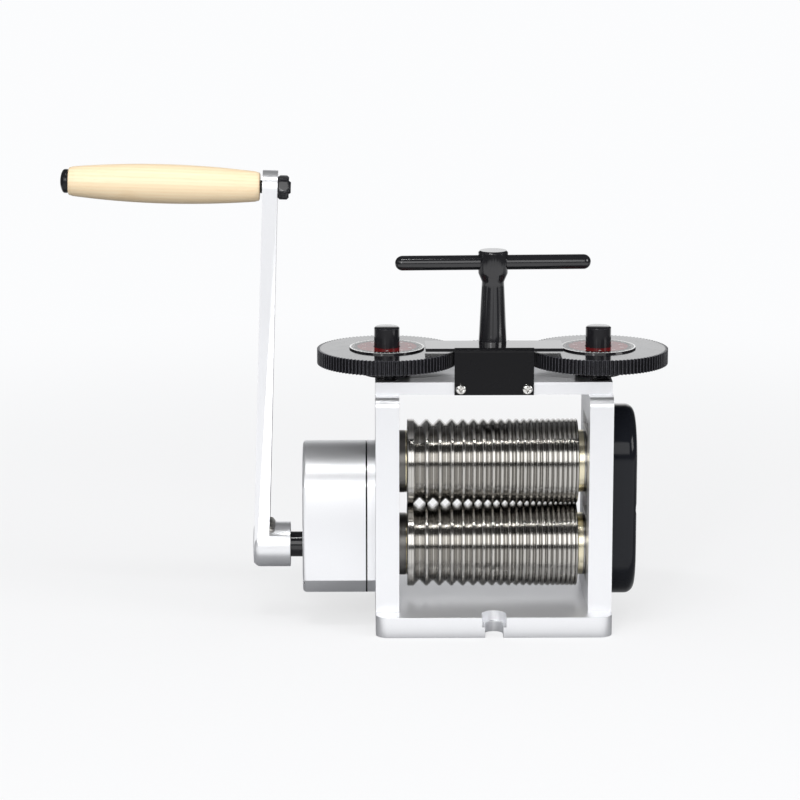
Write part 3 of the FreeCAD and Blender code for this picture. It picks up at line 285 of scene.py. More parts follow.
# ---- shader groups -----------------------------------------------------------------------------
@group("Paint peel", "ShaderNodeTree", {"Vector": "Vector", "Peel": 900.0, "Flakes": 6000.0},
       {"Height": "Float", "Flake": "Float"})
def paint_peel(tree, given):
    """Orange peel and metal flakes of a sprayed finish."""
    flakes = add(tree, "ShaderNodeTexVoronoi", {"Vector": given["Vector"], "Scale": given["Flakes"]}, "Color")
    return {"Height": noise(given["Vector"], given["Peel"], 2.0),
            "Flake": add(tree, "ShaderNodeSeparateColor", {"Color": flakes}, "Red")}


@group("Tool lines", "ShaderNodeTree", {"Along": 0.0, "Fine": 9000.0, "Coarse": 1400.0},
       {"Height": "Float", "Value": "Float"})
def tool_lines(tree, given):
    """Fine lines that a lathe or grinder leaves, crossed by the value Along."""
    def lines(scale, detail):
        inputs = {"W": given["Along"] * scale, "Scale": 1.0, "Detail": detail}
        return add(tree, "ShaderNodeTexNoise", inputs, "Fac", noise_dimensions="1D")
    coarse = lines(given["Coarse"], 1.0)
    return {"Height": (lines(given["Fine"], 2.0) + coarse) * 0.5, "Value": coarse}


@group("Handling", "ShaderNodeTree", {"Vector": "Vector", "Scale": 60.0, "Low": 0.2, "High": 0.3},
       {"Roughness": "Float", "Mask": "Float"})
def handling(tree, given):
    """Faint smears of oil and handling, which change the gloss over the surface."""
    wide = noise(given["Vector"], given["Scale"], 5.0, 0.62, 0.6)
    return {"Roughness": ramp(wide, 0.35, 0.68, given["Low"], given["High"]), "Mask": wide}


@group("Worn edges", "ShaderNodeTree", {"Vector": "Vector", "Radius": 0.0004, "Breaks": 1200.0},
       {"Mask": "Float", "Normal": "Vector"})
def worn_edges(tree, given):
    """Outer edges, found from the rounding of the normal, broken up by noise: a mask for wear, also used to
    paint highlights on the edges of black finishes.
    """
    rounded = add(tree, "ShaderNodeBevel", {"Radius": given["Radius"]}, "Normal", samples=4)
    flat = add(tree, "ShaderNodeNewGeometry", {}, "True Normal")
    facing = add(tree, "ShaderNodeVectorMath", {0: rounded, 1: flat}, "Value", operation="DOT_PRODUCT")
    worn = (1.0 - facing) * (noise(given["Vector"], given["Breaks"], 4.0) * 9.0)
    return {"Mask": ramp(worn, 0.10, 0.5), "Normal": rounded}


@group("Wood grain", "ShaderNodeTree", {"Vector": "Vector", "Light": "Color", "Dark": "Color"},
       {"Color": "Color", "Height": "Float"})
def wood_grain(tree, given):
    """Long-grained pale wood: growth rings cut along the X axis, pores and a few darker streaks."""
    place = given["Vector"]
    warp = noise(stretched(place, (10.0, 95.0, 95.0)), 0.5, 3.0)
    from_heart = stretched(place, location=(0.0, 0.055, 0.035))
    squares = part_of(from_heart, "Y") ** 2.0 + part_of(from_heart, "Z") ** 2.0
    ring = maths(tree, "FRACT", maths(tree, "SQRT", squares) * 640.0 + warp * 3.2)
    pores = noise(stretched(place, (90.0, 2600.0, 2600.0)), 1.0, 2.0)
    streaks = noise(stretched(place, (16.0, 60.0, 60.0)), 1.3, 3.0, distortion=0.8)
    late = ramp(ring, 0.35, 1.0, high=0.42)
    fine = ramp(pores, 0.52, 0.74, high=0.35)
    dark_share = maths(tree, "MINIMUM", late + fine + ramp(streaks, 0.60, 0.74, high=0.5), 1.0)
    return {"Color": mixed(dark_share, given["Light"], given["Dark"]), "Height": ring - pores * 0.6}


# ---- materials ---------------------------------------------------------------------------------
# Bare metals: colour, share of it, axis across the tool lines, roughness from and to, depth of the lines
METALS = {
    "ground_steel": ("ground_steel", 1.0, "X", 0.16, 0.30, 0.25),
    # painted shade: a darker copy of the ground steel, for the steel rings of the bushes on the left, which
    # stand in shade
    "bearing_steel": ("ground_steel", 0.42, "X", 0.30, 0.42, 0.25),
    "milled_steel": ("ground_steel", 1.0, "Z", 0.26, 0.40, 0.25),
    "spring_steel": ("spring_steel", 1.0, "X", 0.25, 0.38, 0.1),
    "turned_bronze": ("bronze", 1.0, "X", 0.18, 0.30, 0.25),
    "nickel_plate": ("nickel", 1.0, "Y", 0.12, 0.22, 0.05),
}
# Blacks: colour, roughness from and to, radius of the edges in mm, their brightness (wear and a painted
# highlight for the glints on edges and teeth), depth of the peel, specular level, and whether faces that look
# down stay matt
BLACKS = {
    "black_oxide": ("black_oxide", 0.12, 0.22, 0.2, 9.0, 0.04, 0.2, False),
    "blued_steel": ("black_oxide", 0.10, 0.18, 0.2, 5.0, 0.04, 0.6, False),
    "guard_black": ("guard", 0.26, 0.36, 0.4, 5.0, 0.04, 0.14, True),
    "guard_lip": ("guard", 0.05, 0.10, 0.4, 5.0, 0.04, 1.0, False),
    "black_plastic": ("plastic", 0.10, 0.18, 0.4, 1.4, 0.02, 0.2, False),
}
INKS = {"dial_red": "dial_red", "dial_white": "dial_white", "dial_black": "black_oxide"}


class Surface:
    """A new material, its node tree and the piece's own coordinates."""

    def __init__(self, name):
        self.material = bpy.data.materials.new(name)
        self.material.use_nodes = True
        self.tree = self.material.node_tree
        self.place = add(self.tree, "ShaderNodeTexCoord", {}, "Object")

    def effect(self, build, **inputs):
        """The values that a shader group gives here."""
        inputs = {label.capitalize(): value for label, value in inputs.items()}
        first = add(self.tree, "ShaderNodeGroup", inputs, node_tree=build())
        return {socket.name: Value(self.tree, socket) for socket in first.socket.node.outputs}

    def bump(self, height, strength, millimetres, normal=None):
        inputs = {"Height": height, "Strength": strength, "Distance": millimetres * MM}
        if normal:
            inputs["Normal"] = normal
        return add(self.tree, "ShaderNodeBump", inputs, "Normal")

    def finish(self, **inputs):
        """Sets the shader's inputs, named in small letters with underscores."""
        shader = self.tree.nodes["Principled BSDF"]
        for label, value in inputs.items():
            fill(self.tree, shader, {label.replace("_", " ").title().replace("Ior", "IOR"): value})
        return self.material


def tint(name, share=1.0):
    """A colour from the settings, made darker or lighter by a share."""
    return tuple(channel * share for channel in getattr(bpy.context.scene.mill_colours, name)) + (1.0,)


@once
def material(name):
    """The finish with this name."""
    if name in METALS:
        return metal(name, *METALS[name])
    if name in BLACKS:
        return black_finish(name, *BLACKS[name])
    if name in INKS:
        return ink(name, INKS[name])
    return {"silver_paint": silver_paint, "roll_steel": roll_steel, "varnished_wood": varnished_wood}[name]()


def silver_paint():
    """A satin silver finish of fine bright flakes, smooth enough to mirror softly what is close to it."""
    surface = Surface("silver_paint")
    peel = surface.effect(paint_peel, vector=surface.place)
    smears = surface.effect(handling, vector=surface.place, scale=35.0, low=0.37, high=0.39)
    flaked = mixed(peel["Flake"], tint("silver", 0.985), tint("silver", 1.01))
    body = mixed(smears["Mask"] * 0.06, flaked, tint("silver", 0.85))
    return surface.finish(base_color=body, roughness=smears["Roughness"], metallic=0.82,
                          normal=surface.bump(peel["Height"], 0.02, 0.2))


def metal(name, base, share, axis, low, high, lines):
    """Bare metal with tool lines across one of the axes X, Y, Z, and a thin uneven film of oil."""
    surface = Surface(name)
    marks = surface.effect(tool_lines, along=part_of(surface.place, axis))
    smears = surface.effect(handling, vector=surface.place, scale=90.0, low=low, high=high)
    body = mixed(marks["Value"], tint(base, share * 0.80), tint(base, share * 1.12))
    stained = mixed(smears["Mask"] * 0.35, body, tint(base, share * 0.62))
    edges = surface.effect(worn_edges, vector=surface.place, radius=0.2 * MM)
    return surface.finish(base_color=stained, roughness=smears["Roughness"], metallic=1.0,
                          normal=surface.bump(marks["Height"], lines, 0.06, normal=edges["Normal"]))


def roll_steel():
    """Polished steel of the rolls: lines round them, and painted shade on the flanks beside the lands that
    stands in for the dark reflections next to the crests.
    """
    surface = Surface("roll_steel")
    marks = surface.effect(tool_lines, along=part_of(surface.place, "X"), fine=7000.0, coarse=1900.0)
    round_it = stretched(surface.place, (1.0, 0.12, 0.12))
    smears = surface.effect(handling, vector=round_it, scale=500.0, low=0.12, high=0.20)
    depth = add(surface.tree, "ShaderNodeAttribute", {}, "Fac", attribute_name="groove_depth")
    # painted shade: the steel is darkened just below each land, by groove depth, for the dark reflections
    # beside the crests
    crest_shade = ramp(depth, 0.05 * MM, 0.25 * MM) * ramp(depth, 0.55 * MM, 1.2 * MM, 1.0, 0.15)
    body = mixed(marks["Value"], tint("ground_steel", 0.55), tint("ground_steel", 1.45))
    crest_shaded = mixed(crest_shade * 0.38, body, tint("ground_steel", 0.22))
    return surface.finish(base_color=crest_shaded, roughness=smears["Roughness"], metallic=1.0,
                          normal=surface.bump(marks["Height"], 0.35, 0.06))


def black_finish(name, base, low, high, edge_radius, edge_wear_and_glint_share, peel_depth, level, matt_below):
    """A glossy black over metal, brighter along its edges, partly as wear and partly as a painted highlight
    for their glints, that mirrors more at a low angle.
    """
    surface = Surface(name)
    edges = surface.effect(worn_edges, vector=surface.place, radius=edge_radius * MM)
    smears = surface.effect(handling, vector=surface.place, scale=120.0, low=low, high=high)
    peel = surface.effect(paint_peel, vector=surface.place, peel=1500.0)
    facing = add(surface.tree, "ShaderNodeLayerWeight", {"Blend": 0.5}, "Facing")
    gloss = ramp(facing, 0.55, 0.85)
    if matt_below:
        upward = part_of(add(surface.tree, "ShaderNodeNewGeometry", {}, "Normal"), "Z")
        gloss = gloss * maths(surface.tree, "GREATER_THAN", upward, -0.5)
    # painted highlight: the edges are made several times brighter than the black, partly wear and partly
    # standing in for glints
    return surface.finish(
        base_color=mixed(edges["Mask"], tint(base), tint(base, edge_wear_and_glint_share)), roughness=smears["Roughness"],
        normal=surface.bump(peel["Height"], peel_depth, 0.1, normal=edges["Normal"]),
        coat_weight=gloss, coat_roughness=0.06, coat_ior=1.7, specular_ior_level=level)


def ink(name, base):
    """Ink on the glossy face of a dial, with a little tooth in it."""
    surface = Surface(name)
    smears = surface.effect(handling, vector=surface.place, scale=150.0, low=0.05, high=0.12)
    peel = surface.effect(paint_peel, vector=surface.place, peel=2500.0)
    return surface.finish(base_color=mixed(peel["Height"], tint(base, 0.9), tint(base)),
                          roughness=smears["Roughness"])


def varnished_wood():
    """Pale wood under a thin varnish, its grain along the grip."""
    surface = Surface("varnished_wood")
    along = stretched(surface.place, rotation=(0.0, -ARM_LEAN, 0.0))
    grain = surface.effect(wood_grain, vector=along, light=tint("wood_light"), dark=tint("wood_dark"))
    smears = surface.effect(handling, vector=surface.place, scale=40.0, low=0.34, high=0.48)
    return surface.finish(base_color=grain["Color"], roughness=smears["Roughness"], coat_weight=0.2,
                          coat_roughness=0.3, normal=surface.bump(grain["Height"], 0.12, 0.2))


# ---- mesh code ---------------------------------------------------------------------------------
def section(radius, place, axis, centre, points):
    """A ring of points about an axis, its radius a number or a function of the angle."""
    first = Y_AXIS if abs(axis.x) > 0.5 else X_AXIS
    second = axis.cross(first)
    ring = []
    for step in range(points):
        angle = FULL_TURN * step / points
        reach = radius(angle) if callable(radius) else radius
        aside, up = reach * math.cos(angle), reach * math.sin(angle)
        ring.append(centre + axis * place + first * aside + second * up)
    return ring


def loft(mesh, sections, close_ends=True):
    """Adds a skin through rings with the same number of points, with its ends closed."""
    rows = [[mesh.verts.new(point) for point in ring] for ring in sections]
    faces = []
    for low, high in zip(rows, rows[1:]):
        for step in range(len(low)):
            after = (step + 1) % len(low)
            faces.append(mesh.faces.new((low[step], low[after], high[after], high[step])))
    if close_ends:
        faces.append(mesh.faces.new(rows[0][::-1]))
        faces.append(mesh.faces.new(rows[-1]))
    return faces


def lathe(mesh, outline, axis, centre=ORIGIN, points=48, close_ends=True):
    """Adds a turned piece from its (place along the axis, radius) corners."""
    rings = [section(radius, place, axis, centre, points) for place, radius in outline]
    return loft(mesh, rings, close_ends)


def hexagon(apothem):
    return lambda angle: apothem / math.cos((angle + math.pi / 6) % (math.pi / 3) - math.pi / 6)


def cross(reach, half_width):
    """A cross's radius at an angle: four arms with this reach and half width."""
    def radius(angle):
        turned = (angle + math.pi / 4) % (math.pi / 2) - math.pi / 4
        along = max(abs(math.cos(turned)), 1e-6)
        across = max(abs(math.sin(turned)), 1e-6)
        return max(min(reach / along, half_width / across), half_width * 1.15)
    return radius


def settled(mesh):
    """Merges doubles and points the faces outwards."""
    bmesh.ops.remove_doubles(mesh, verts=mesh.verts, dist=1e-7)
    bmesh.ops.recalc_face_normals(mesh, faces=mesh.faces)
    return mesh


def object_of(name, data, finishes, sharp=32.0):
    """An object from a mesh, with these finishes, smooth but for edges sharper than this angle."""
    for finish in finishes:
        data.materials.append(material(finish))
    data.shade_smooth()
    data.set_sharp_from_angle(angle=math.radians(sharp))
    made = bpy.data.objects.new(name, data)
    bpy.context.scene.collection.objects.link(made)
    return made


def piece(name, mesh, finishes, sharp=32.0):
    """An object from a bmesh."""
    data = bpy.data.meshes.new(name)
    mesh.to_mesh(data)
    mesh.free()
    return object_of(name, data, finishes, sharp)


def node_body(node):
    return next(body for body, nodes in frame["record"]["behaviour"]["bodies"].items() if node in nodes)


def stands_for(made, slot, node):
    """Makes a piece ride with the node that it stands for."""
    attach(made, node_body(node))
    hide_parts(node)
    return made


def merged_copy(node):
    """A node's mesh with its loose triangles merged."""
    mesh = bmesh.new()
    mesh.from_mesh(frame["nodes"][node].data)
    bmesh.ops.remove_doubles(mesh, verts=mesh.verts, dist=1e-6)
    bmesh.ops.dissolve_limit(mesh, angle_limit=math.radians(0.5), verts=mesh.verts, edges=mesh.edges)
    return mesh


def plain_mesh(made):
    """What an object looks like with its modifiers, as a new mesh."""
    return bpy.data.meshes.new_from_object(made.evaluated_get(bpy.context.evaluated_depsgraph_get()))


def flattened(made):
    """Turns a piece's modifiers into plain mesh."""
    data = plain_mesh(made)
    made.modifiers.clear()
    made.data = data


def rounding(made, width, segments, angle):
    """Adds a rounding to the edges that are sharper than an angle."""
    bevel = made.modifiers.new("Edges", "BEVEL")
    bevel.width = width
    bevel.segments = segments
    bevel.limit_method = "ANGLE"
    bevel.angle_limit = math.radians(angle)
    return bevel


def rounded_copy(node, ending, finish, slot, edge, segments=2, angle=35.0):
    """A piece that stands for a node of the model: its own form with the edges rounded."""
    made = piece(f"{node}_{ending}", merged_copy(node), [finish], angle)
    rounding(made, edge, segments, angle).harden_normals = True
    flattened(made)
    return stands_for(made, slot, node)


def painted(finish, *nodes):
    """Gives nodes of the model their finish."""
    for node in nodes:
        slots = frame["nodes"][node].data.materials
        slots.clear()
        slots.append(material(finish))


# ---- geometry nodes ----------------------------------------------------------------------------
def growth(name, inputs):
    """Turns a formula for a shape into a geometry tree that ends in real geometry with its material."""
    def wrap(formula):
        def ended(tree, given):
            real = add(tree, "GeometryNodeRealizeInstances", {"Geometry": formula(tree, given)}, "Geometry")
            return {"Geometry": add(tree, "GeometryNodeSetMaterial", {
                "Geometry": real, "Material": given["Material"]}, "Geometry")}
        with_material = {**inputs, "Material": "Material"}
        return group(name, "GeometryNodeTree", with_material, {"Geometry": "Geometry"})(ended)
    return wrap


def grown(name, build, finish, start=None, **values):
    """The mesh that a geometry tree grows from its named inputs, as a plain mesh."""
    tree = build()
    carrier = bpy.data.objects.new(name, start or bpy.data.meshes.new(name))
    bpy.context.scene.collection.objects.link(carrier)
    modifier = carrier.modifiers.new("Grow", "NODES")
    modifier.node_group = tree
    sockets = {item.name: item.identifier for item in tree.interface.items_tree if item.in_out == "INPUT"}
    modifier[sockets["Material"]] = material(finish)
    for label, value in values.items():
        modifier[sockets[label.replace("_", " ").capitalize()]] = value
    bpy.context.view_layer.update()
    data = plain_mesh(carrier)
    bpy.data.objects.remove(carrier)
    return data


@growth("Grooved barrel", {
    "Radius": 0.02, "Half length": 0.04, "First groove": 0.005, "Ratio": 0.9, "Crest": 0.001,
    "Left land": 0.002, "Bottom": 0.05, "Grooves": 20, "Segments": 96})
def grooved_barrel(tree, given):
    """A grooved barrel: each V groove is narrower than the last by a fixed ratio, with a plain land between.

    A grid is wrapped round the X axis. Its columns are the corners of the outline: one at each end, and four
    for each groove, numbered 0 to 3 from the left crest over the two corners of the flat to the right crest.
    """
    ratio, first, half = given["Ratio"], given["First groove"], given["Half length"]
    corners = given["Grooves"] * 4.0 + 2.0
    grid = add(tree, "GeometryNodeMeshGrid", {
        "Size X": 1.0, "Size Y": 1.0, "Vertices X": corners, "Vertices Y": given["Segments"] + 1.0}, "Mesh")
    at = add(tree, "GeometryNodeInputPosition", {})
    last = corners - 1.0
    column = maths(tree, "ROUND", (part_of(at, "X") + 0.5) * last)
    inner = maths(tree, "MAXIMUM", column - 1.0, 0.0)
    groove = maths(tree, "FLOOR", (inner + 0.25) / 4.0)
    corner = inner - groove * 4.0
    width = first * ratio ** groove
    half_groove = width * 0.5
    flat = width * given["Bottom"] * 0.5
    wider_grooves = (first - width) / (1.0 - ratio)
    start = given["Left land"] - half + (wider_grooves + (groove + 0.5) * given["Crest"])
    at_bottom = maths(tree, "COMPARE", corner, 1.5, 0.6)
    side = maths(tree, "SIGN", corner - 1.5)
    reach = add(tree, "ShaderNodeMix", {0: at_bottom, 2: half_groove, 3: flat})
    is_first = maths(tree, "COMPARE", column, 0.0, 0.1)
    is_last = maths(tree, "COMPARE", column, last, 0.1)
    between = 1.0 - (is_first + is_last)
    x = (start + half_groove + side * reach) * between + (is_last - is_first) * half
    radius = given["Radius"] - (half_groove - flat) * (at_bottom * between)
    angle = (part_of(at, "Y") + 0.5) * FULL_TURN
    y, z = (radius * maths(tree, wave, angle) for wave in ("SINE", "COSINE"))
    place = joined_axes(tree, X=x, Y=y, Z=z)
    wrapped = add(tree, "GeometryNodeSetPosition", {"Geometry": grid, "Position": place}, "Geometry")
    return add(tree, "GeometryNodeMergeByDistance", {"Geometry": wrapped, "Distance": 1e-6}, "Geometry")


@growth("Coil", {
    "Radius": 0.004, "Wire": 0.0005, "Turns": 5.0, "Height": 0.01, "Sides": 12, "Place": "Vector"})
def coil(tree, given):
    """A wire wound round the Z axis, as a spring or as the ridge of a thread."""
    spiral = add(tree, "GeometryNodeCurveSpiral", {
        "Resolution": 40, "Rotations": given["Turns"], "Start Radius": given["Radius"],
        "End Radius": given["Radius"], "Height": given["Height"]}, "Curve")
    wire = add(tree, "GeometryNodeCurvePrimitiveCircle", {
        "Resolution": given["Sides"], "Radius": given["Wire"]}, "Curve")
    swept = add(tree, "GeometryNodeCurveToMesh", {
        "Curve": spiral, "Profile Curve": wire, "Fill Caps": True}, "Mesh")
    return add(tree, "GeometryNodeTransform", {"Geometry": swept, "Translation": given["Place"]}, "Geometry")


@growth("Set out", {"Geometry": "Geometry", "Pattern": "Object"})
def pattern_at_points(tree, given):
    """One pattern piece set out at each point of the mesh."""
    pattern = add(tree, "GeometryNodeObjectInfo", {"Object": given["Pattern"]}, "Geometry")
    return add(tree, "GeometryNodeInstanceOnPoints", {
        "Points": given["Geometry"], "Instance": pattern}, "Instances")


@growth("Graduations", {
    "Count": 50, "Radius": 0.015, "Short": 0.0012, "Long": 0.0022, "Width": 0.0002, "Thickness": 0.00004,
    "Place": "Vector"})
def graduations(tree, given):
    """Graduations round a dial: each is a short bar that points to the middle, and every fifth is longer."""
    circle = add(tree, "GeometryNodeMeshCircle", {
        "Vertices": given["Count"], "Radius": given["Radius"]}, "Mesh")
    bar = add(tree, "GeometryNodeMeshCube", {"Size": (1.0, 1.0, 1.0)}, "Mesh")
    hung = add(tree, "GeometryNodeTransform", {"Geometry": bar, "Translation": (-0.5, 0.0, 0.0)}, "Geometry")
    order = add(tree, "GeometryNodeInputIndex", {})
    is_fifth = maths(tree, "COMPARE", order % 5.0, 0.0, 0.1)
    reach = given["Short"] + is_fifth * (given["Long"] - given["Short"])
    turned = joined_axes(tree, Z=order * FULL_TURN / given["Count"])
    size = joined_axes(tree, X=reach, Y=given["Width"], Z=given["Thickness"])
    bars = add(tree, "GeometryNodeInstanceOnPoints", {
        "Points": circle, "Instance": hung, "Rotation": turned, "Scale": size}, "Instances")
    return add(tree, "GeometryNodeTransform", {"Geometry": bars, "Translation": given["Place"]}, "Geometry")


@growth("Weld", {"Geometry": "Geometry", "Bead": 0.0014, "Step": 0.0008, "Seed": 3})
def weld(tree, given):
    """Overlapping beads of weld along a path, each a little different in size."""
    path = add(tree, "GeometryNodeMeshToCurve", {"Mesh": given["Geometry"]}, "Curve")
    evenly = add(tree, "GeometryNodeResampleCurve", {"Curve": path, "Length": given["Step"]}, "Curve",
                 mode="LENGTH")
    bead = add(tree, "GeometryNodeMeshIcoSphere", {"Radius": given["Bead"], "Subdivisions": 2}, "Mesh")
    size = add(tree, "FunctionNodeRandomValue", {
        "Min": (0.72, 0.72, 0.6), "Max": (1.05, 1.0, 0.9), "Seed": given["Seed"]}, "Value",
        data_type="FLOAT_VECTOR")
    return add(tree, "GeometryNodeInstanceOnPoints", {
        "Points": evenly, "Instance": bead, "Scale": size}, "Instances")


def points_mesh(name, points, joined=False):
    """A mesh of bare points, or of a path through them."""
    data = bpy.data.meshes.new(name)
    edges = [(i, i + 1) for i in range(len(points) - 1)] if joined else []
    data.from_pydata([tuple(point) for point in points], edges, [])
    return data


# ---- places read from the model ----------------------------------------------------------------
def middle(node):
    low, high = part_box(node)
    return (low + high) / 2


def solids_of(node):
    """The lowest and highest corners of the separate solids in a node, in order."""
    mesh = merged_copy(node)
    left = set(mesh.verts)
    found = []
    while left:
        group_of_verts, reached = set(), [left.pop()]
        while reached:
            vert = reached.pop()
            group_of_verts.add(vert)
            for link in vert.link_edges:
                other = link.other_vert(vert)
                if other in left:
                    left.remove(other)
                    reached.append(other)
        places = [vert.co for vert in group_of_verts]
        found.append([Vector([pick(place[i] for place in places) for i in range(3)]) for pick in (min, max)])
    mesh.free()
    return sorted(found, key=lambda pair: tuple(round(value, 5) for value in pair[0]))


LOWER = middle("lower_left_bush").z
UPPER = middle("upper_left_bush").z
ARM_LEAN = math.radians(1.8)


# ---- rolls -------------------------------------------------------------------------------------
FLARE_HEIGHT, FLARE_LENGTH = 0.4 * MM, 0.3 * MM   # where a journal meets the barrel


def roll_piece(name, centre, ends):
    """A roll: its grooved barrel grown by rule, with turned journals and gear seats."""
    sizes = bpy.context.scene.mill_rolls
    half, chamfer, segments = sizes.half_width, sizes.end_chamfer, sizes.segments
    barrel = grown(
        name, grooved_barrel, "roll_steel", radius=sizes.radius, half_length=half - chamfer,
        first_groove=sizes.first_groove, ratio=sizes.groove_ratio, crest=sizes.crest,
        left_land=sizes.left_land - chamfer, bottom=sizes.bottom, grooves=sizes.grooves, segments=segments)
    barrel.transform(Matrix.Translation(centre))
    mesh = bmesh.new()
    mesh.from_mesh(barrel)
    for way, end in ((-1, ends[0]), (1, ends[1])):
        face = way * half
        outline = [(way * (half - chamfer), sizes.radius), (face, sizes.radius - chamfer),
                   (face, sizes.journal + FLARE_HEIGHT), (face + way * FLARE_LENGTH, sizes.journal)] + end
        lathe(mesh, outline, X_AXIS, centre, segments, close_ends=False)
        tip, radius = outline[-1]
        mesh.faces.new([mesh.verts.new(point) for point in section(radius, tip, X_AXIS, centre, segments)])
    made = piece(name, settled(mesh), ["roll_steel"], 20.0)
    # depth below the crests at each point, from which roll_steel paints shade beside the lands
    depths = [max(sizes.radius - (point.co - centre).yz.length, 0.0) if abs(point.co.x) < half else 0.0
              for point in made.data.vertices]
    made.data.attributes.new("groove_depth", "FLOAT", "POINT").data.foreach_set("value", depths)
    return made


class MILL_OT_rolls(bpy.types.Operator):
    """Makes the two grooved rolls"""
    bl_idname = "mill.rolls"
    bl_label = "Rolls"

    def execute(self, context):
        sizes = context.scene.mill_rolls
        journal, seat, chamfer = sizes.journal, sizes.gear_seat, sizes.shaft_chamfer

        def gear_end(shoulder, tip, chamfered):
            return [(shoulder, journal), (shoulder, seat), (chamfered, seat), (tip, seat - chamfer)]
        for node, z in (("upper_roll", UPPER), ("lower_roll", LOWER)):
            low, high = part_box(node)
            right = gear_end(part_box(node + "_gear")[0].x, high.x, high.x - chamfer)
            left = [(low.x + chamfer, journal), (low.x, journal - chamfer)]
            if node == "lower_roll":
                left = gear_end(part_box("driven_gear")[1].x, low.x, low.x + chamfer)
            stands_for(roll_piece(node + "_ground", Vector((0, 0, z)), (left, right)), "ground_steel", node)
        return {"FINISHED"}


# ---- plates ------------------------------------------------------------------------------------
class MILL_OT_plates(bpy.types.Operator):
    """Rounds and finishes the base plate, the side plates and the top plate"""
    bl_idname = "mill.plates"
    bl_label = "Plates"

    def execute(self, context):
        edge = context.scene.mill_detail.casting_edge
        for node in ("base_plate", "left_side_plate", "right_side_plate", "top_plate"):
            rounded_copy(node, "painted", "silver_paint", "silver_paint", edge)
        return {"FINISHED"}


# ---- bearings ----------------------------------------------------------------------------------
BUSH_SLEEVE, BUSH_BORE = 12.05 * MM, 10.05 * MM
BUSH_EDGE, BUSH_GROOVE = 0.3 * MM, 0.25 * MM
BRASS_WIDTHS = {
    "upper_left": 0.7 * MM, "upper_right": 2.7 * MM, "lower_left": 0.4 * MM, "lower_right": 2.7 * MM,
}


def bush_piece(place, brass):
    """A flanged bush: a brass collar of this thickness next to the roll, then a steel ring and the sleeve."""
    low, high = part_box(place + "_bush")
    way = 1 if high.x > 0 else -1
    start, end = sorted((abs(low.x), abs(high.x)))
    seat = abs(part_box("right_side_plate")[0].x)
    flange = (high.z - low.z) / 2
    edge, groove = BUSH_EDGE, BUSH_GROOVE
    split = start + brass
    outline = [(start, BUSH_BORE + edge), (start, flange - edge), (start + edge, flange), (split, flange),
               (split, flange - groove), (split + groove, flange - groove), (split + groove, flange),
               (seat - edge, flange), (seat, flange - edge), (seat, BUSH_SLEEVE), (end, BUSH_SLEEVE),
               (end, BUSH_BORE)]
    mesh = bmesh.new()
    centre = Vector((0, 0, (low.z + high.z) / 2))
    lathe(mesh, outline + outline[:1], X_AXIS * way, centre, 96, close_ends=False)
    for face in mesh.faces:
        face.material_index = 0 if abs(face.calc_center_median().x) < split + groove / 2 else 1
    # painted shade: the steel rings of the left bushes take a darker copy of the ground steel
    steel = "bearing_steel" if way < 0 else "ground_steel"
    made = piece(place + "_bush_turned", settled(mesh), ["turned_bronze", steel])
    return stands_for(made, "bronze", place + "_bush")


class MILL_OT_bearings(bpy.types.Operator):
    """Finishes the bearing blocks and bushes"""
    bl_idname = "mill.bearings"
    bl_label = "Bearings"

    def execute(self, context):
        edge = context.scene.mill_detail.machined_edge
        for place, brass in BRASS_WIDTHS.items():
            rounded_copy(place + "_block", "milled", "milled_steel", "ground_steel", edge)
            bush_piece(place, brass)
        return {"FINISHED"}


class MILL_OT_springs(bpy.types.Operator):
    """Winds the lift springs between the bearing blocks"""
    bl_idname = "mill.springs"
    bl_label = "Lift springs"

    def execute(self, context):
        detail = context.scene.mill_detail
        wire = detail.spring_wire
        for node in ("left_lift_spring", "right_lift_spring"):
            low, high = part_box(node)
            x = middle(node).x
            data = grown(node, coil, "spring_steel", radius=(high.x - low.x) / 2 - wire, wire=wire,
                         turns=detail.spring_turns, height=high.z - low.z - 2 * wire, sides=12,
                         place=(x, 0.0, low.z + wire))
            made = object_of(node + "_coil", data, [])
            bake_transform(made)
            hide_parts(node)
        return {"FINISHED"}


# ---- screws ------------------------------------------------------------------------------------
# Node, the way its screws point, finish, slot, and the head: its form and sizes in millimetres
SCREWS = (
    ("side_plate_screws", Z_AXIS, "black_oxide", "black_steel",
     dict(form="socket", radius=4.25, height=5.0, shank=2.5, key=2.0, depth=2.4)),
    ("top_plate_screws", -Z_AXIS, "black_oxide", "black_steel",
     dict(form="countersunk", radius=4.5, shank=2.5, key=1.5, depth=1.8)),
    ("gearbox_screws", X_AXIS, "black_oxide", "black_steel",
     dict(form="socket", radius=3.5, height=3.6, shank=2.0, key=1.5, depth=2.0)),
    ("gear_cover_screws", -X_AXIS, "black_oxide", "black_steel",
     dict(form="socket", radius=2.6, height=2.1, shank=1.5, key=1.1, depth=1.4)),
    ("guard_screws", Y_AXIS, "nickel_plate", "nickel", dict(form="pan", radius=2.45, height=1.6, shank=1.5)),
)


HEAD_POINTS = {"socket": 36, "countersunk": 36, "pan": 48}
# Places down a pan head's crown and its radii there, as shares of the head's height and radius
CROWN = ((0.04, 0.62), (0.17, 0.82), (0.42, 0.96), (0.68, 1.0), (1.0, 1.0))
RIM_HEIGHT, KEY_CHAMFER = 0.2 * MM, 0.05 * MM   # of a countersunk head, and of a socket


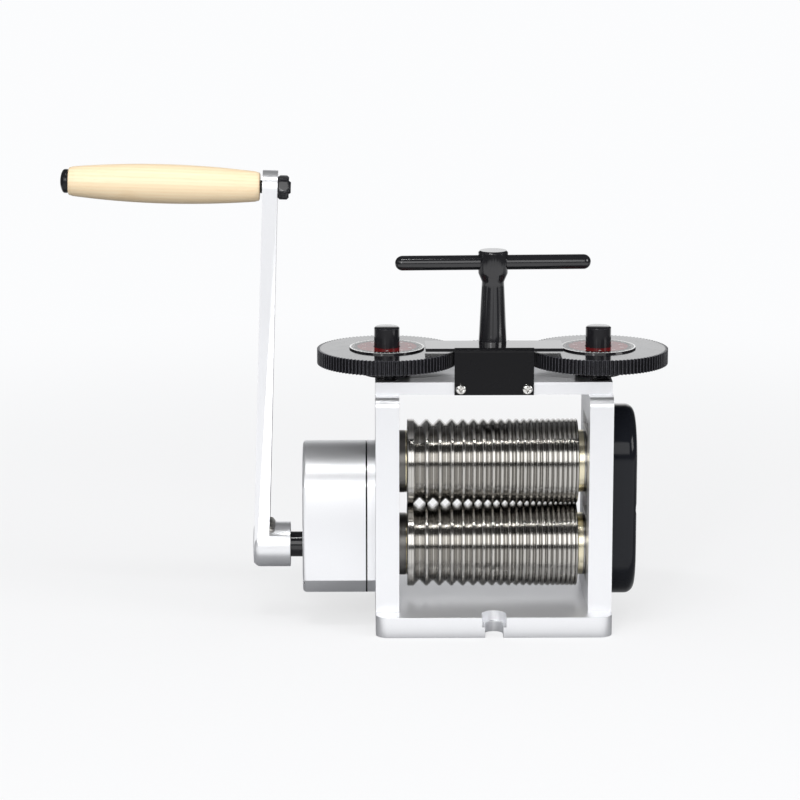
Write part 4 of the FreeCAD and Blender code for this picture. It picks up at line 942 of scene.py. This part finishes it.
def screw_outline(tip, form, **millimetres):
    """The corners of a screw with its head's face at the origin."""
    sizes = {label: value * MM for label, value in millimetres.items()}
    radius, shank = sizes["radius"], sizes["shank"]
    if form == "pan":
        height = sizes["height"]
        recess = [(height * 0.7, cross(radius * 0.22, radius * 0.07)),
                  (height * 0.14, cross(radius * 0.56, radius * 0.13))]
        crown = [(height * down, radius * out) for down, out in CROWN]
        return recess + crown + [(height, shank), (tip, shank)]
    key, depth = sizes["key"], sizes["depth"]
    recess = [(depth, hexagon(key * 0.5)), (depth, hexagon(key))]
    if form == "countersunk":
        return recess + [(0, hexagon(key)), (0, radius), (RIM_HEIGHT, radius), (radius - shank, shank),
                         (tip, shank)]
    height, edge = sizes["height"], radius * 0.1
    return recess + [(KEY_CHAMFER, hexagon(key)), (0, hexagon(key * 1.08)), (0, radius - edge),
                     (edge, radius), (height, radius), (height, shank), (tip - shank * 0.2, shank),
                     (tip, shank * 0.8)]


class MILL_OT_screws(bpy.types.Operator):
    """Sets out the screws of the plates, the gearbox, the cover and the guard"""
    bl_idname = "mill.screws"
    bl_label = "Screws"

    def execute(self, context):
        for node, axis, finish, slot, head in SCREWS:
            solids = solids_of(node)
            tips = [abs((high - low).dot(axis)) for low, high in solids]
            faces = [(low + high) / 2 - axis * tip / 2 for (low, high), tip in zip(solids, tips)]
            mesh = bmesh.new()
            lathe(mesh, screw_outline(tips[0], **head), axis, points=HEAD_POINTS[head["form"]])
            name = node + "_set"
            pattern = piece(name + "_pattern", settled(mesh), [finish])
            data = grown(name, pattern_at_points, finish, points_mesh(name, faces), pattern=pattern)
            bpy.data.objects.remove(pattern)
            stands_for(object_of(name, data, []), slot, node)
        return {"FINISHED"}


# ---- screw-down --------------------------------------------------------------------------------
class MILL_OT_fine_gears(bpy.types.Operator):
    """Finishes the fine gears of the screw-down"""
    bl_idname = "mill.fine_gears"
    bl_label = "Fine gears"

    def execute(self, context):
        edge = context.scene.mill_detail.tooth_edge
        for node in ("left_dial_gear", "right_dial_gear", "centre_gear"):
            rounded_copy(node, "black", "black_oxide", "black_steel", edge, 1, 25.0)
        painted("black_oxide", "centre_gear_set_screw")
        return {"FINISHED"}


DIAL_BORE = 6.25 * MM
DIAL_EDGE = 0.15 * MM
RED_SHARE, SCALE_SHARE, DIGIT_SHARE = 0.79, 0.95, 0.65   # of the dial's radius
TICK_SHORT, TICK_LONG, TICK_WIDTH, PRINT_THICKNESS = 1.2 * MM, 2.1 * MM, 0.28 * MM, 0.05 * MM
DIGIT_SIZE = 2.6 * MM
RED, WHITE, BLACK = 0, 1, 2


def flat_digit(digit):
    """The plain mesh of a digit, centred on the origin."""
    letters = bpy.data.curves.new("digit", "FONT")
    letters.body = str(digit)
    letters.size = DIGIT_SIZE
    letters.align_x = "CENTER"
    letters.align_y = "CENTER"
    letters.resolution_u = 3
    carrier = bpy.data.objects.new("digit", letters)
    bpy.context.scene.collection.objects.link(carrier)
    bpy.context.view_layer.update()
    flat = plain_mesh(carrier)
    bpy.data.objects.remove(carrier)
    return flat


def dial_piece(node, detail):
    """A printed dial: white numbers on red, a black scale with white graduations, and a white rim."""
    low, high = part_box(node)
    outer = (high.x - low.x) / 2
    top = high.z - PRINT_THICKNESS
    centre = middle(node).xy.to_3d()
    mesh = bmesh.new()
    # Each corner of the outline has the finish of the faces from there to the next one.
    outline = [(top, DIAL_BORE, RED), (top, outer * RED_SHARE, BLACK), (top, outer * SCALE_SHARE, WHITE),
               (top, outer - DIAL_EDGE, BLACK), (top - DIAL_EDGE, outer, BLACK), (low.z, outer, BLACK),
               (low.z, DIAL_BORE, BLACK), (top, DIAL_BORE, BLACK)]
    for start, end in zip(outline, outline[1:]):
        for face in lathe(mesh, [start[:2], end[:2]], Z_AXIS, centre, 96, close_ends=False):
            face.material_index = start[2]
    settled(mesh)
    parts = bmesh.new()
    parts.from_mesh(grown(
        node, graduations, "dial_white", count=detail.dial_divisions, radius=outer * SCALE_SHARE,
        short=TICK_SHORT, long=TICK_LONG, width=TICK_WIDTH, thickness=PRINT_THICKNESS,
        place=(centre.x, centre.y, top)))
    for digit in range(detail.dial_numbers):
        flat = flat_digit(digit)
        flat.transform(Matrix.Translation(centre + Z_AXIS * (top + PRINT_THICKNESS / 2))
                       @ Matrix.Rotation(-FULL_TURN * digit / detail.dial_numbers, 4, "Z")
                       @ Matrix.Translation((0, -outer * DIGIT_SHARE, 0)))
        parts.from_mesh(flat)
    for face in parts.faces:
        face.material_index = WHITE
    print_mesh = bpy.data.meshes.new("print")
    parts.to_mesh(print_mesh)
    parts.free()
    mesh.from_mesh(print_mesh)
    made = piece(node + "_printed", mesh, ["dial_red", "dial_white", "dial_black"])
    return stands_for(made, "dial_face", node)


class MILL_OT_dials(bpy.types.Operator):
    """Prints the dials with graduations and numbers"""
    bl_idname = "mill.dials"
    bl_label = "Dials"

    def execute(self, context):
        for node in ("left_dial", "right_dial"):
            dial_piece(node, context.scene.mill_detail)
        return {"FINISHED"}


SCREW_HEAD, SCREW_THREAD, SCREW_RIDGE = 6.0 * MM, 4.0 * MM, 0.42 * MM
SCREW_CORE = SCREW_THREAD - 2 * SCREW_RIDGE + 0.15 * MM
SCREW_CHAMFER, SHOULDER_GAP = 0.7 * MM, 0.1 * MM
POINT_DEPTH, POINT_LENGTH = 0.5 * MM, 0.6 * MM   # of the cone at the lower end


def pressure_screw_piece(node, pitch):
    """A pressure screw: a head with a chamfer and a flat, and a threaded shank under it."""
    low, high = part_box(node)
    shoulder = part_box("top_plate")[1].z + SHOULDER_GAP
    centre = Vector(((low.x + high.x) / 2, 0, 0))
    edge, head = SCREW_CHAMFER, SCREW_HEAD
    mesh = bmesh.new()
    lathe(mesh, [(low.z, SCREW_CORE - POINT_DEPTH), (low.z + POINT_LENGTH, SCREW_CORE),
                 (shoulder, SCREW_CORE), (shoulder, head), (high.z - edge, head),
                 (high.z - edge * 0.35, head - edge * 0.55), (high.z, head - edge * 1.25)],
          Z_AXIS, centre, 64)
    settled(mesh)
    cut = bmesh.ops.bisect_plane(mesh, geom=mesh.verts[:] + mesh.edges[:] + mesh.faces[:], dist=1e-7,
                                 plane_co=(0, high.y, 0), plane_no=Y_AXIS, clear_outer=True)
    rim = [item for item in cut["geom_cut"] if isinstance(item, bmesh.types.BMEdge)]
    bmesh.ops.holes_fill(mesh, edges=rim)
    height = shoulder - low.z - 2 * SCREW_RIDGE
    mesh.from_mesh(grown(
        node, coil, "black_oxide", radius=SCREW_THREAD - SCREW_RIDGE, wire=SCREW_RIDGE, turns=height / pitch,
        height=height, sides=4, place=(centre.x, 0.0, low.z + SCREW_RIDGE)))
    bmesh.ops.recalc_face_normals(mesh, faces=mesh.faces)
    return stands_for(piece(node + "_threaded", mesh, ["black_oxide"]), "black_steel", node)


class MILL_OT_pressure_screws(bpy.types.Operator):
    """Makes the pressure screws with their threads"""
    bl_idname = "mill.pressure_screws"
    bl_label = "Pressure screws"

    def execute(self, context):
        for node in ("left_pressure_screw", "right_pressure_screw"):
            pressure_screw_piece(node, context.scene.mill_detail.thread_pitch)
        return {"FINISHED"}


class MILL_OT_t_handle(bpy.types.Operator):
    """Finishes the T-handle"""
    bl_idname = "mill.t_handle"
    bl_label = "T-handle"

    def execute(self, context):
        edge = context.scene.mill_detail.machined_edge
        rounded_copy("tee_spindle", "black", "blued_steel", "black_steel", edge, 2, 30.0)
        rounded_copy("tee_bar", "black", "blued_steel", "black_steel", edge, 2, 40.0)
        painted("spring_steel", "spindle_ring")
        return {"FINISHED"}


def extruded(name, profile, left, right):
    """A closed bar with this outline of (y, z) corners, from left to right."""
    mesh = bmesh.new()
    loft(mesh, [[Vector((x, y, z)) for y, z in profile] for x in (left, right)])
    return piece(name, settled(mesh), ["guard_black"])


def combined(made, other, operation):
    """Joins another piece to this one, or cuts it out of it, and removes it."""
    step = made.modifiers.new("Combined", "BOOLEAN")
    step.operation = operation
    step.object = other
    flattened(made)
    bpy.data.objects.remove(other)


class MILL_OT_guard(bpy.types.Operator):
    """Bends the guard over the gears: a flap on the top plate and a wider lip with square ends"""
    bl_idname = "mill.guard"
    bl_label = "Gear guard"

    def execute(self, context):
        detail = context.scene.mill_detail
        low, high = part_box("gear_guard")
        sheet, bend, steps = detail.sheet, detail.guard_bend, 6
        half = detail.flap_width / 2
        under = high.z - sheet
        back = low.y + detail.lip_depth

        def arc(radius):
            centre = Vector((low.y + bend, high.z - bend))
            turns = [math.pi / 2 * step / steps for step in range(steps + 1)]
            return [centre + Vector((-math.cos(angle), math.sin(angle))) * radius for angle in turns]
        flap = [(low.y, low.z)] + arc(bend) + [(back, high.z), (back, under)] + arc(bend - sheet)[::-1]
        made = extruded("gear_guard_bent", flap + [(low.y + sheet, low.z)], -half, half)
        lip = [(low.y, under), (low.y, high.z), (back, high.z), (back, under)]
        for left, right in ((low.x, -half), (half, high.x)):
            combined(made, extruded("wing", lip, left, right), "UNION")
        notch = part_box("tee_spindle")[1].x + detail.lip_notch
        mesh = bmesh.new()
        lathe(mesh, [(under - sheet, notch), (high.z + sheet, notch)], Z_AXIS)
        combined(made, piece("notch", settled(mesh), ["guard_black"]), "DIFFERENCE")
        rounding(made, detail.machined_edge, 2, 40)
        made.modifiers.new("Even", "WEIGHTED_NORMAL").keep_sharp = True
        flattened(made)
        made.data.materials.append(material("guard_lip"))
        for face in made.data.polygons:
            face.material_index = 1 if face.normal.z > 0.9 else 0
        stands_for(made, "guard_paint", "gear_guard")
        return {"FINISHED"}


# ---- gearbox and roll drive --------------------------------------------------------------------
# painted shade of the seam: how far the dark band stands out of the surface and sinks into it
SEAM_SHADE_PROUD, SEAM_SHADE_SUNK = 0.04 * MM, 0.3 * MM


def gasket_piece(width):
    """Painted shade: a dark band along the joint between the gearbox's housing and its back plate, on the
    outer edge, that stands in for the shaded gap of the seam.
    """
    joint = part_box("gearbox_housing")[1].x
    mesh = merged_copy("gearbox_housing")
    bmesh.ops.bisect_plane(mesh, geom=mesh.verts[:] + mesh.edges[:] + mesh.faces[:], dist=1e-7,
                           plane_co=(joint - width, 0, 0), plane_no=X_AXIS, clear_inner=True,
                           clear_outer=True)
    bmesh.ops.remove_doubles(mesh, verts=mesh.verts, dist=1e-6)
    loop = []
    ahead = [min(mesh.verts, key=lambda vert: vert.co.y)]
    while ahead:
        loop.append(ahead[0])
        beside = [edge.other_vert(loop[-1]) for edge in loop[-1].link_edges]
        ahead = [vert for vert in beside if vert not in loop]
    outline = [vert.co.copy() for vert in loop]
    mesh.free()
    inside = (outline[0] + outline[len(outline) // 2]) / 2
    rings = []
    for along, proud in ((0, -SEAM_SHADE_SUNK), (0, SEAM_SHADE_PROUD), (width, SEAM_SHADE_PROUD), (width, -SEAM_SHADE_SUNK)):
        rings.append([point + X_AXIS * (along + width / 2)
                      + ((point - inside) * Vector((0, 1, 1))).normalized() * proud for point in outline])
    ring_mesh = bmesh.new()
    loft(ring_mesh, rings + rings[:1], close_ends=False)
    made = piece("gearbox_gasket", settled(ring_mesh), ["dial_black"])
    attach(made, node_body("gearbox_housing"))


class MILL_OT_gearbox(bpy.types.Operator):
    """Finishes the gearbox and the gears inside it"""
    bl_idname = "mill.gearbox"
    bl_label = "Gearbox"

    def execute(self, context):
        detail = context.scene.mill_detail
        for node in ("gearbox_housing", "gearbox_back_plate"):
            rounded_copy(node, "painted", "silver_paint", "silver_paint", detail.casting_edge)
        # painted shade: a dark band along the seam of the gearbox
        gasket_piece(detail.gasket)
        painted("milled_steel", "countershaft_pin", "countershaft_gear", "driven_gear")
        painted("spring_steel", "driven_gear_ring")
        painted("turned_bronze", "crank_bush")
        return {"FINISHED"}


class MILL_OT_roll_drive(bpy.types.Operator):
    """Finishes the roll gears and their cover"""
    bl_idname = "mill.roll_drive"
    bl_label = "Roll gears and cover"

    def execute(self, context):
        edge = context.scene.mill_detail.casting_edge
        rounded_copy("gear_cover", "moulded", "black_plastic", "cover_plastic", edge)
        painted("milled_steel", "upper_roll_gear", "lower_roll_gear")
        painted("spring_steel", "upper_gear_ring", "lower_gear_ring")
        return {"FINISHED"}


# ---- crank -------------------------------------------------------------------------------------
GRIP_AXIS = Vector((-math.cos(ARM_LEAN), 0, math.sin(ARM_LEAN)))   # from the mill outwards
GRIP_HALF, GRIP_BORE, GRIP_EDGE = 44.3 * MM, 3.1 * MM, 1.0 * MM
GRIP_INNER, GRIP_FULL, GRIP_OUTER = 6.8 * MM, 9.1 * MM, 6.65 * MM   # radii
BOLT_HEAD, BOLT_RISE, BOLT_RIM, BOLT_SHANK = 5.6 * MM, 3.7 * MM, 1.5 * MM, 3.0 * MM
BOLT_EDGE, BOLT_TIP, BOLT_TAPER, BOLT_PLAY = 0.3 * MM, 2.5 * MM, 0.6 * MM, 0.1 * MM
NUT_APOTHEM, NUT_HEIGHT, NUT_BORE, NUT_POINTS = 5.0 * MM, 5.2 * MM, 3.0 * MM, 72
NUT_TURN = math.radians(20)
WELD_RADIUS, WELD_FACE, WELD_HALF_ANGLE = 11.0 * MM, 8.2 * MM, 38   # the face from the arm's outer end
WELD_STEP, WELD_SEED = 1.1 * MM, 7


class MILL_OT_crank(bpy.types.Operator):
    """Finishes the crank's arm, shaft, weld, bolt and nut"""
    bl_idname = "mill.crank"
    bl_label = "Crank"

    def execute(self, context):
        detail = context.scene.mill_detail
        rounded_copy("crank_arm", "painted", "silver_paint", "silver_paint", detail.casting_edge)
        painted("blued_steel", "crank_shaft")
        painted("black_oxide", "crank_set_screw")
        self.weld(detail.weld_bead)
        self.bolt()
        self.nut()
        return {"FINISHED"}

    def weld(self, bead):
        """The weld where the arm meets its boss, on the side of the mill."""
        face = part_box("crank_arm")[0].x + WELD_FACE
        angles = [math.radians(WELD_HALF_ANGLE * (step / 4 - 1)) for step in range(9)]
        path = [(face, WELD_RADIUS * math.sin(angle), LOWER + WELD_RADIUS * math.cos(angle))
                for angle in angles]
        start = points_mesh("crank_weld", path, joined=True)
        data = grown("crank_weld", weld, "milled_steel", start, bead=bead, step=WELD_STEP, seed=WELD_SEED)
        made = object_of("crank_weld", data, [], 80.0)
        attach(made, "crank")

    def bolt(self):
        """The handle bolt: a smooth domed head and a plain shank."""
        centre = middle("wooden_grip")
        reach = GRIP_HALF + BOLT_PLAY
        tail = (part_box("handle_bolt")[1].x - centre.x) / math.cos(ARM_LEAN) - BOLT_PLAY
        outline = [(-tail, BOLT_TIP), (-tail + BOLT_TAPER, BOLT_SHANK), (reach, BOLT_SHANK),
                   (reach, BOLT_HEAD - BOLT_EDGE), (reach + BOLT_EDGE, BOLT_HEAD),
                   (reach + BOLT_RIM, BOLT_HEAD)]
        for step in range(1, 9):
            angle = math.pi / 2 * step / 8
            outline.append((reach + BOLT_RIM + (BOLT_RISE - BOLT_RIM) * math.sin(angle),
                            max(BOLT_HEAD * math.cos(angle), 0.02 * MM)))
        mesh = bmesh.new()
        lathe(mesh, outline, GRIP_AXIS, centre, 64)
        stands_for(piece("handle_bolt_domed", settled(mesh), ["black_oxide"]), "black_steel", "handle_bolt")

    def nut(self):
        """The nut, its corners chamfered at both faces."""
        full = hexagon(NUT_APOTHEM)

        def chamfered(limit):
            return lambda angle: min(full(angle + NUT_TURN), NUT_APOTHEM * limit)
        half = [(-0.5, NUT_BORE)] + [(place, chamfered(limit)) for place, limit in (
            (-0.5, 0.97), (-0.41, 1.05), (-0.31, 2))]
        outline = half + [(-place, radius) for place, radius in half[::-1]]
        outline = [(place * NUT_HEIGHT, radius) for place, radius in outline]
        mesh = bmesh.new()
        lathe(mesh, outline + outline[:1], -GRIP_AXIS, middle("handle_nut"), NUT_POINTS, close_ends=False)
        made = piece("handle_nut_chamfered", settled(mesh), ["blued_steel"], 24.0)
        stands_for(made, "black_steel", "handle_nut")


class MILL_OT_grip(bpy.types.Operator):
    """Turns the wooden grip"""
    bl_idname = "mill.grip"
    bl_label = "Wooden grip"

    def execute(self, context):
        rings = context.scene.mill_detail.grip_rings
        outline = [(-GRIP_HALF, GRIP_BORE), (-GRIP_HALF, GRIP_INNER - GRIP_EDGE)]
        for step in range(rings + 1):
            share = step / rings
            end = GRIP_INNER if share < 0.5 else GRIP_OUTER
            place = GRIP_HALF * (2 * share - 1)
            radius = end + (GRIP_FULL - end) * (1 - (2 * share - 1) ** 2)
            from_end = min(place + GRIP_HALF, GRIP_HALF - place)
            if from_end < GRIP_EDGE:
                place += math.copysign((GRIP_EDGE - from_end) * 0.35, 0.5 - share)
                radius -= GRIP_EDGE * 0.3 * (1 - from_end / GRIP_EDGE)
            outline.append((place, radius))
        outline += [(GRIP_HALF, GRIP_OUTER - GRIP_EDGE), (GRIP_HALF, GRIP_BORE)]
        mesh = bmesh.new()
        lathe(mesh, outline + outline[:1], GRIP_AXIS, middle("wooden_grip"), 72, close_ends=False)
        settled(mesh)
        stands_for(piece("wooden_grip_turned", mesh, ["varnished_wood"], 40.0), "wood", "wooden_grip")
        return {"FINISHED"}


# ---- studio ------------------------------------------------------------------------------------
WHITE_TINT = (0.985, 0.99, 1.0, 1)
TARGET = Vector((0, 0, 0.1))
WHITE_LEVEL = 0.985   # of the far floor and the backdrop, as the camera sees them
NEAR_LIFT, MIRRORED_LIFT = 0.642, 0.86   # light added to the near floor, for the camera and in polished metal
DIM_BEHIND, DIM_EDGE = 0.35, 0.1   # what polished metal sees of the white behind the camera, and at its edges


def aimed(made, ahead):
    """Points a lamp or camera and puts it in the scene."""
    made.rotation_mode = "QUATERNION"
    made.rotation_quaternion = ahead.to_track_quat("-Z", "Y")
    bpy.context.scene.collection.objects.link(made)
    return made


def lamp(name, place, size, power):
    """A rectangular lamp that points at the mill."""
    data = bpy.data.lights.new(name, "AREA")
    data.shape = "RECTANGLE"
    data.size, data.size_y = size
    data.energy = power
    made = bpy.data.objects.new(name, data)
    made.location = place
    made.visible_camera = False
    aimed(made, TARGET - Vector(place))


def floor_material(base):
    """A pale floor that takes the shadow and fades to plain white away from the mill.

    Painted reflection: rays from polished metal see the near floor glow in front of the base, and further off
    a white glow that is dimmer behind the camera, at the sides and up the backdrop.
    """
    made = bpy.data.materials.new("studio_floor")
    made.use_nodes = True
    tree = made.node_tree
    tree.nodes.clear()
    place = add(tree, "ShaderNodeTexCoord", {}, "Object")
    x, y, z = (part_of(place, axis) for axis in "XYZ")
    seen, mirrored = (add(tree, "ShaderNodeLightPath", {}, f"Is {kind} Ray") for kind in ("Camera", "Glossy"))
    away = add(tree, "ShaderNodeVectorMath", {0: place}, "Value", operation="LENGTH")
    fade = ramp(away, 0.28, 0.8, kind="SMOOTHSTEP")
    either = maths(tree, "MINIMUM", seen + mirrored, 1.0)
    # painted reflection: the near floor glows in front of the base only for rays from polished metal
    lifted = seen * NEAR_LIFT + mirrored * ramp(y, -0.055, -0.041, MIRRORED_LIFT, 0.0)
    matt = add(tree, "ShaderNodeBsdfDiffuse", {"Color": base})
    lift = add(tree, "ShaderNodeEmission", {"Color": (1, 1, 1, 1), "Strength": lifted})
    near = add(tree, "ShaderNodeAddShader", {0: matt, 1: lift})
    aside = ramp(maths(tree, "ABSOLUTE", x), 0.45, 0.9, 1.0, DIM_EDGE, "SMOOTHSTEP")
    above = ramp(z, 0.6, 1.3, 1.0, DIM_EDGE, "SMOOTHSTEP")
    # painted reflection: the white that polished metal sees is dimmer behind the camera, at the sides and up
    # the backdrop
    level = seen * WHITE_LEVEL + mirrored * (ramp(y, -2.2, -1.1, DIM_BEHIND, 1.0) * (aside * above))
    white = add(tree, "ShaderNodeEmission", {"Color": WHITE_TINT, "Strength": level})
    surface = add(tree, "ShaderNodeMixShader", {0: fade * either, 1: near, 2: white})
    fill(tree, tree.nodes.new("ShaderNodeOutputMaterial"), {"Surface": surface})
    return made


def studio_world(room, dark_room):
    """White to the camera, dim on dull surfaces, and to polished metal a dark room."""
    world = bpy.data.worlds.new("studio")
    world.use_nodes = True
    tree = world.node_tree
    tree.nodes.clear()
    seen, mirrored = (add(tree, "ShaderNodeLightPath", {}, f"Is {kind} Ray") for kind in ("Camera", "Glossy"))
    unseen = (1.0 - seen) * (mirrored * dark_room + (1.0 - mirrored) * room)
    light = add(tree, "ShaderNodeBackground", {"Color": WHITE_TINT, "Strength": seen + unseen})
    fill(tree, tree.nodes.new("ShaderNodeOutputWorld"), {"Surface": light})
    return world


def floor_sheet():
    """A floor that curves up into a backdrop behind the mill."""
    side, front, start, bend, top = 3.0, -3.0, 1.2, 0.8, 2.0
    curve = [math.radians(angle) for angle in range(10, 91, 10)]
    profile = [(front, 0.0), (start, 0.0)]
    profile += [(start + bend * math.sin(angle), bend * (1 - math.cos(angle))) for angle in curve]
    profile.append((start + bend, top))
    mesh = bmesh.new()
    rows = [[mesh.verts.new((x, y, z)) for x in (-side, side)] for y, z in profile]
    for low, high in zip(rows, rows[1:]):
        mesh.faces.new((low[0], low[1], high[1], high[0]))
    floor = piece("studio_floor", mesh, [], 60.0)
    floor.data.materials.append(floor_material(tuple(bpy.context.scene.mill_studio.floor) + (1.0,)))
    floor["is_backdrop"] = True


class MILL_OT_stage(bpy.types.Operator):
    """Sets up the floor, the lamps, the world and the camera"""
    bl_idname = "mill.stage"
    bl_label = "Studio"

    def execute(self, context):
        scene = context.scene
        studio = scene.mill_studio
        scene.view_settings.view_transform = "Standard"
        scene.world = studio_world(studio.room, studio.dark_room)
        floor_sheet()
        lamp("front_softbox", (-0.45, -2.1, 1.05), (2.9, 1.2), studio.front_power)
        lamp("key_strip", (-0.62, -2.0, 0.95), (0.22, 0.9), studio.key_power)
        lamp("right_softbox", (1.5, -0.75, 0.75), (0.7, 0.7), studio.right_power)
        lamp("left_softbox", (-1.6, -0.9, 1.0), (0.8, 0.8), studio.left_power)
        lamp("top_strip", (-0.20, -0.42, 1.25), (0.40, 0.05), studio.top_power)
        data = bpy.data.cameras.new("camera")
        data.lens = studio.lens
        data.sensor_width = 36.0
        data.clip_start, data.clip_end = 0.05, 20.0
        camera = bpy.data.objects.new("camera", data)
        camera.location = studio.camera
        level = math.cos(studio.pitch)
        scene.camera = aimed(camera, Vector((
            math.sin(studio.yaw) * level, math.cos(studio.yaw) * level, -math.sin(studio.pitch))))
        return {"FINISHED"}


# ---- add-on ------------------------------------------------------------------------------------
OPERATORS = (
    MILL_OT_stage, MILL_OT_rolls, MILL_OT_plates, MILL_OT_bearings, MILL_OT_springs, MILL_OT_screws,
    MILL_OT_fine_gears, MILL_OT_dials, MILL_OT_pressure_screws, MILL_OT_t_handle, MILL_OT_guard,
    MILL_OT_gearbox, MILL_OT_roll_drive, MILL_OT_crank, MILL_OT_grip,
)
SETTINGS = (
    ("mill_rolls", MillRollSettings), ("mill_detail", MillDetailSettings),
    ("mill_colours", MillColourSettings), ("mill_studio", MillStudioSettings),
)


class MILL_PT_panel(bpy.types.Panel):
    """Lists the settings and the steps that make the mill"""
    bl_idname = "MILL_PT_panel"
    bl_label = "Rolling mill"
    bl_space_type = "VIEW_3D"
    bl_region_type = "UI"
    bl_category = "Rolling mill"

    def draw(self, context):
        for attribute, settings in SETTINGS:
            box = self.layout.box()
            for label in settings.__annotations__:
                box.prop(getattr(context.scene, attribute), label)
        for operator in OPERATORS:
            self.layout.operator(operator.bl_idname)


def register():
    for attribute, settings in SETTINGS:
        bpy.utils.register_class(settings)
        setattr(bpy.types.Scene, attribute, bpy.props.PointerProperty(type=settings))
    for operator in OPERATORS:
        bpy.utils.register_class(operator)
    bpy.utils.register_class(MILL_PT_panel)


def unregister():
    bpy.utils.unregister_class(MILL_PT_panel)
    for operator in reversed(OPERATORS):
        bpy.utils.unregister_class(operator)
    for attribute, settings in reversed(SETTINGS):
        delattr(bpy.types.Scene, attribute)
        bpy.utils.unregister_class(settings)


def main():
    register()
    for operator in OPERATORS:
        family, name = operator.bl_idname.split(".")
        getattr(getattr(bpy.ops, family), name)()
    boxes = {"cad": CAD_BOX, "visual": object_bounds()}
    {key: [list(corner) for corner in box] for key, box in boxes.items()}


if __name__ == "__main__":
    main()
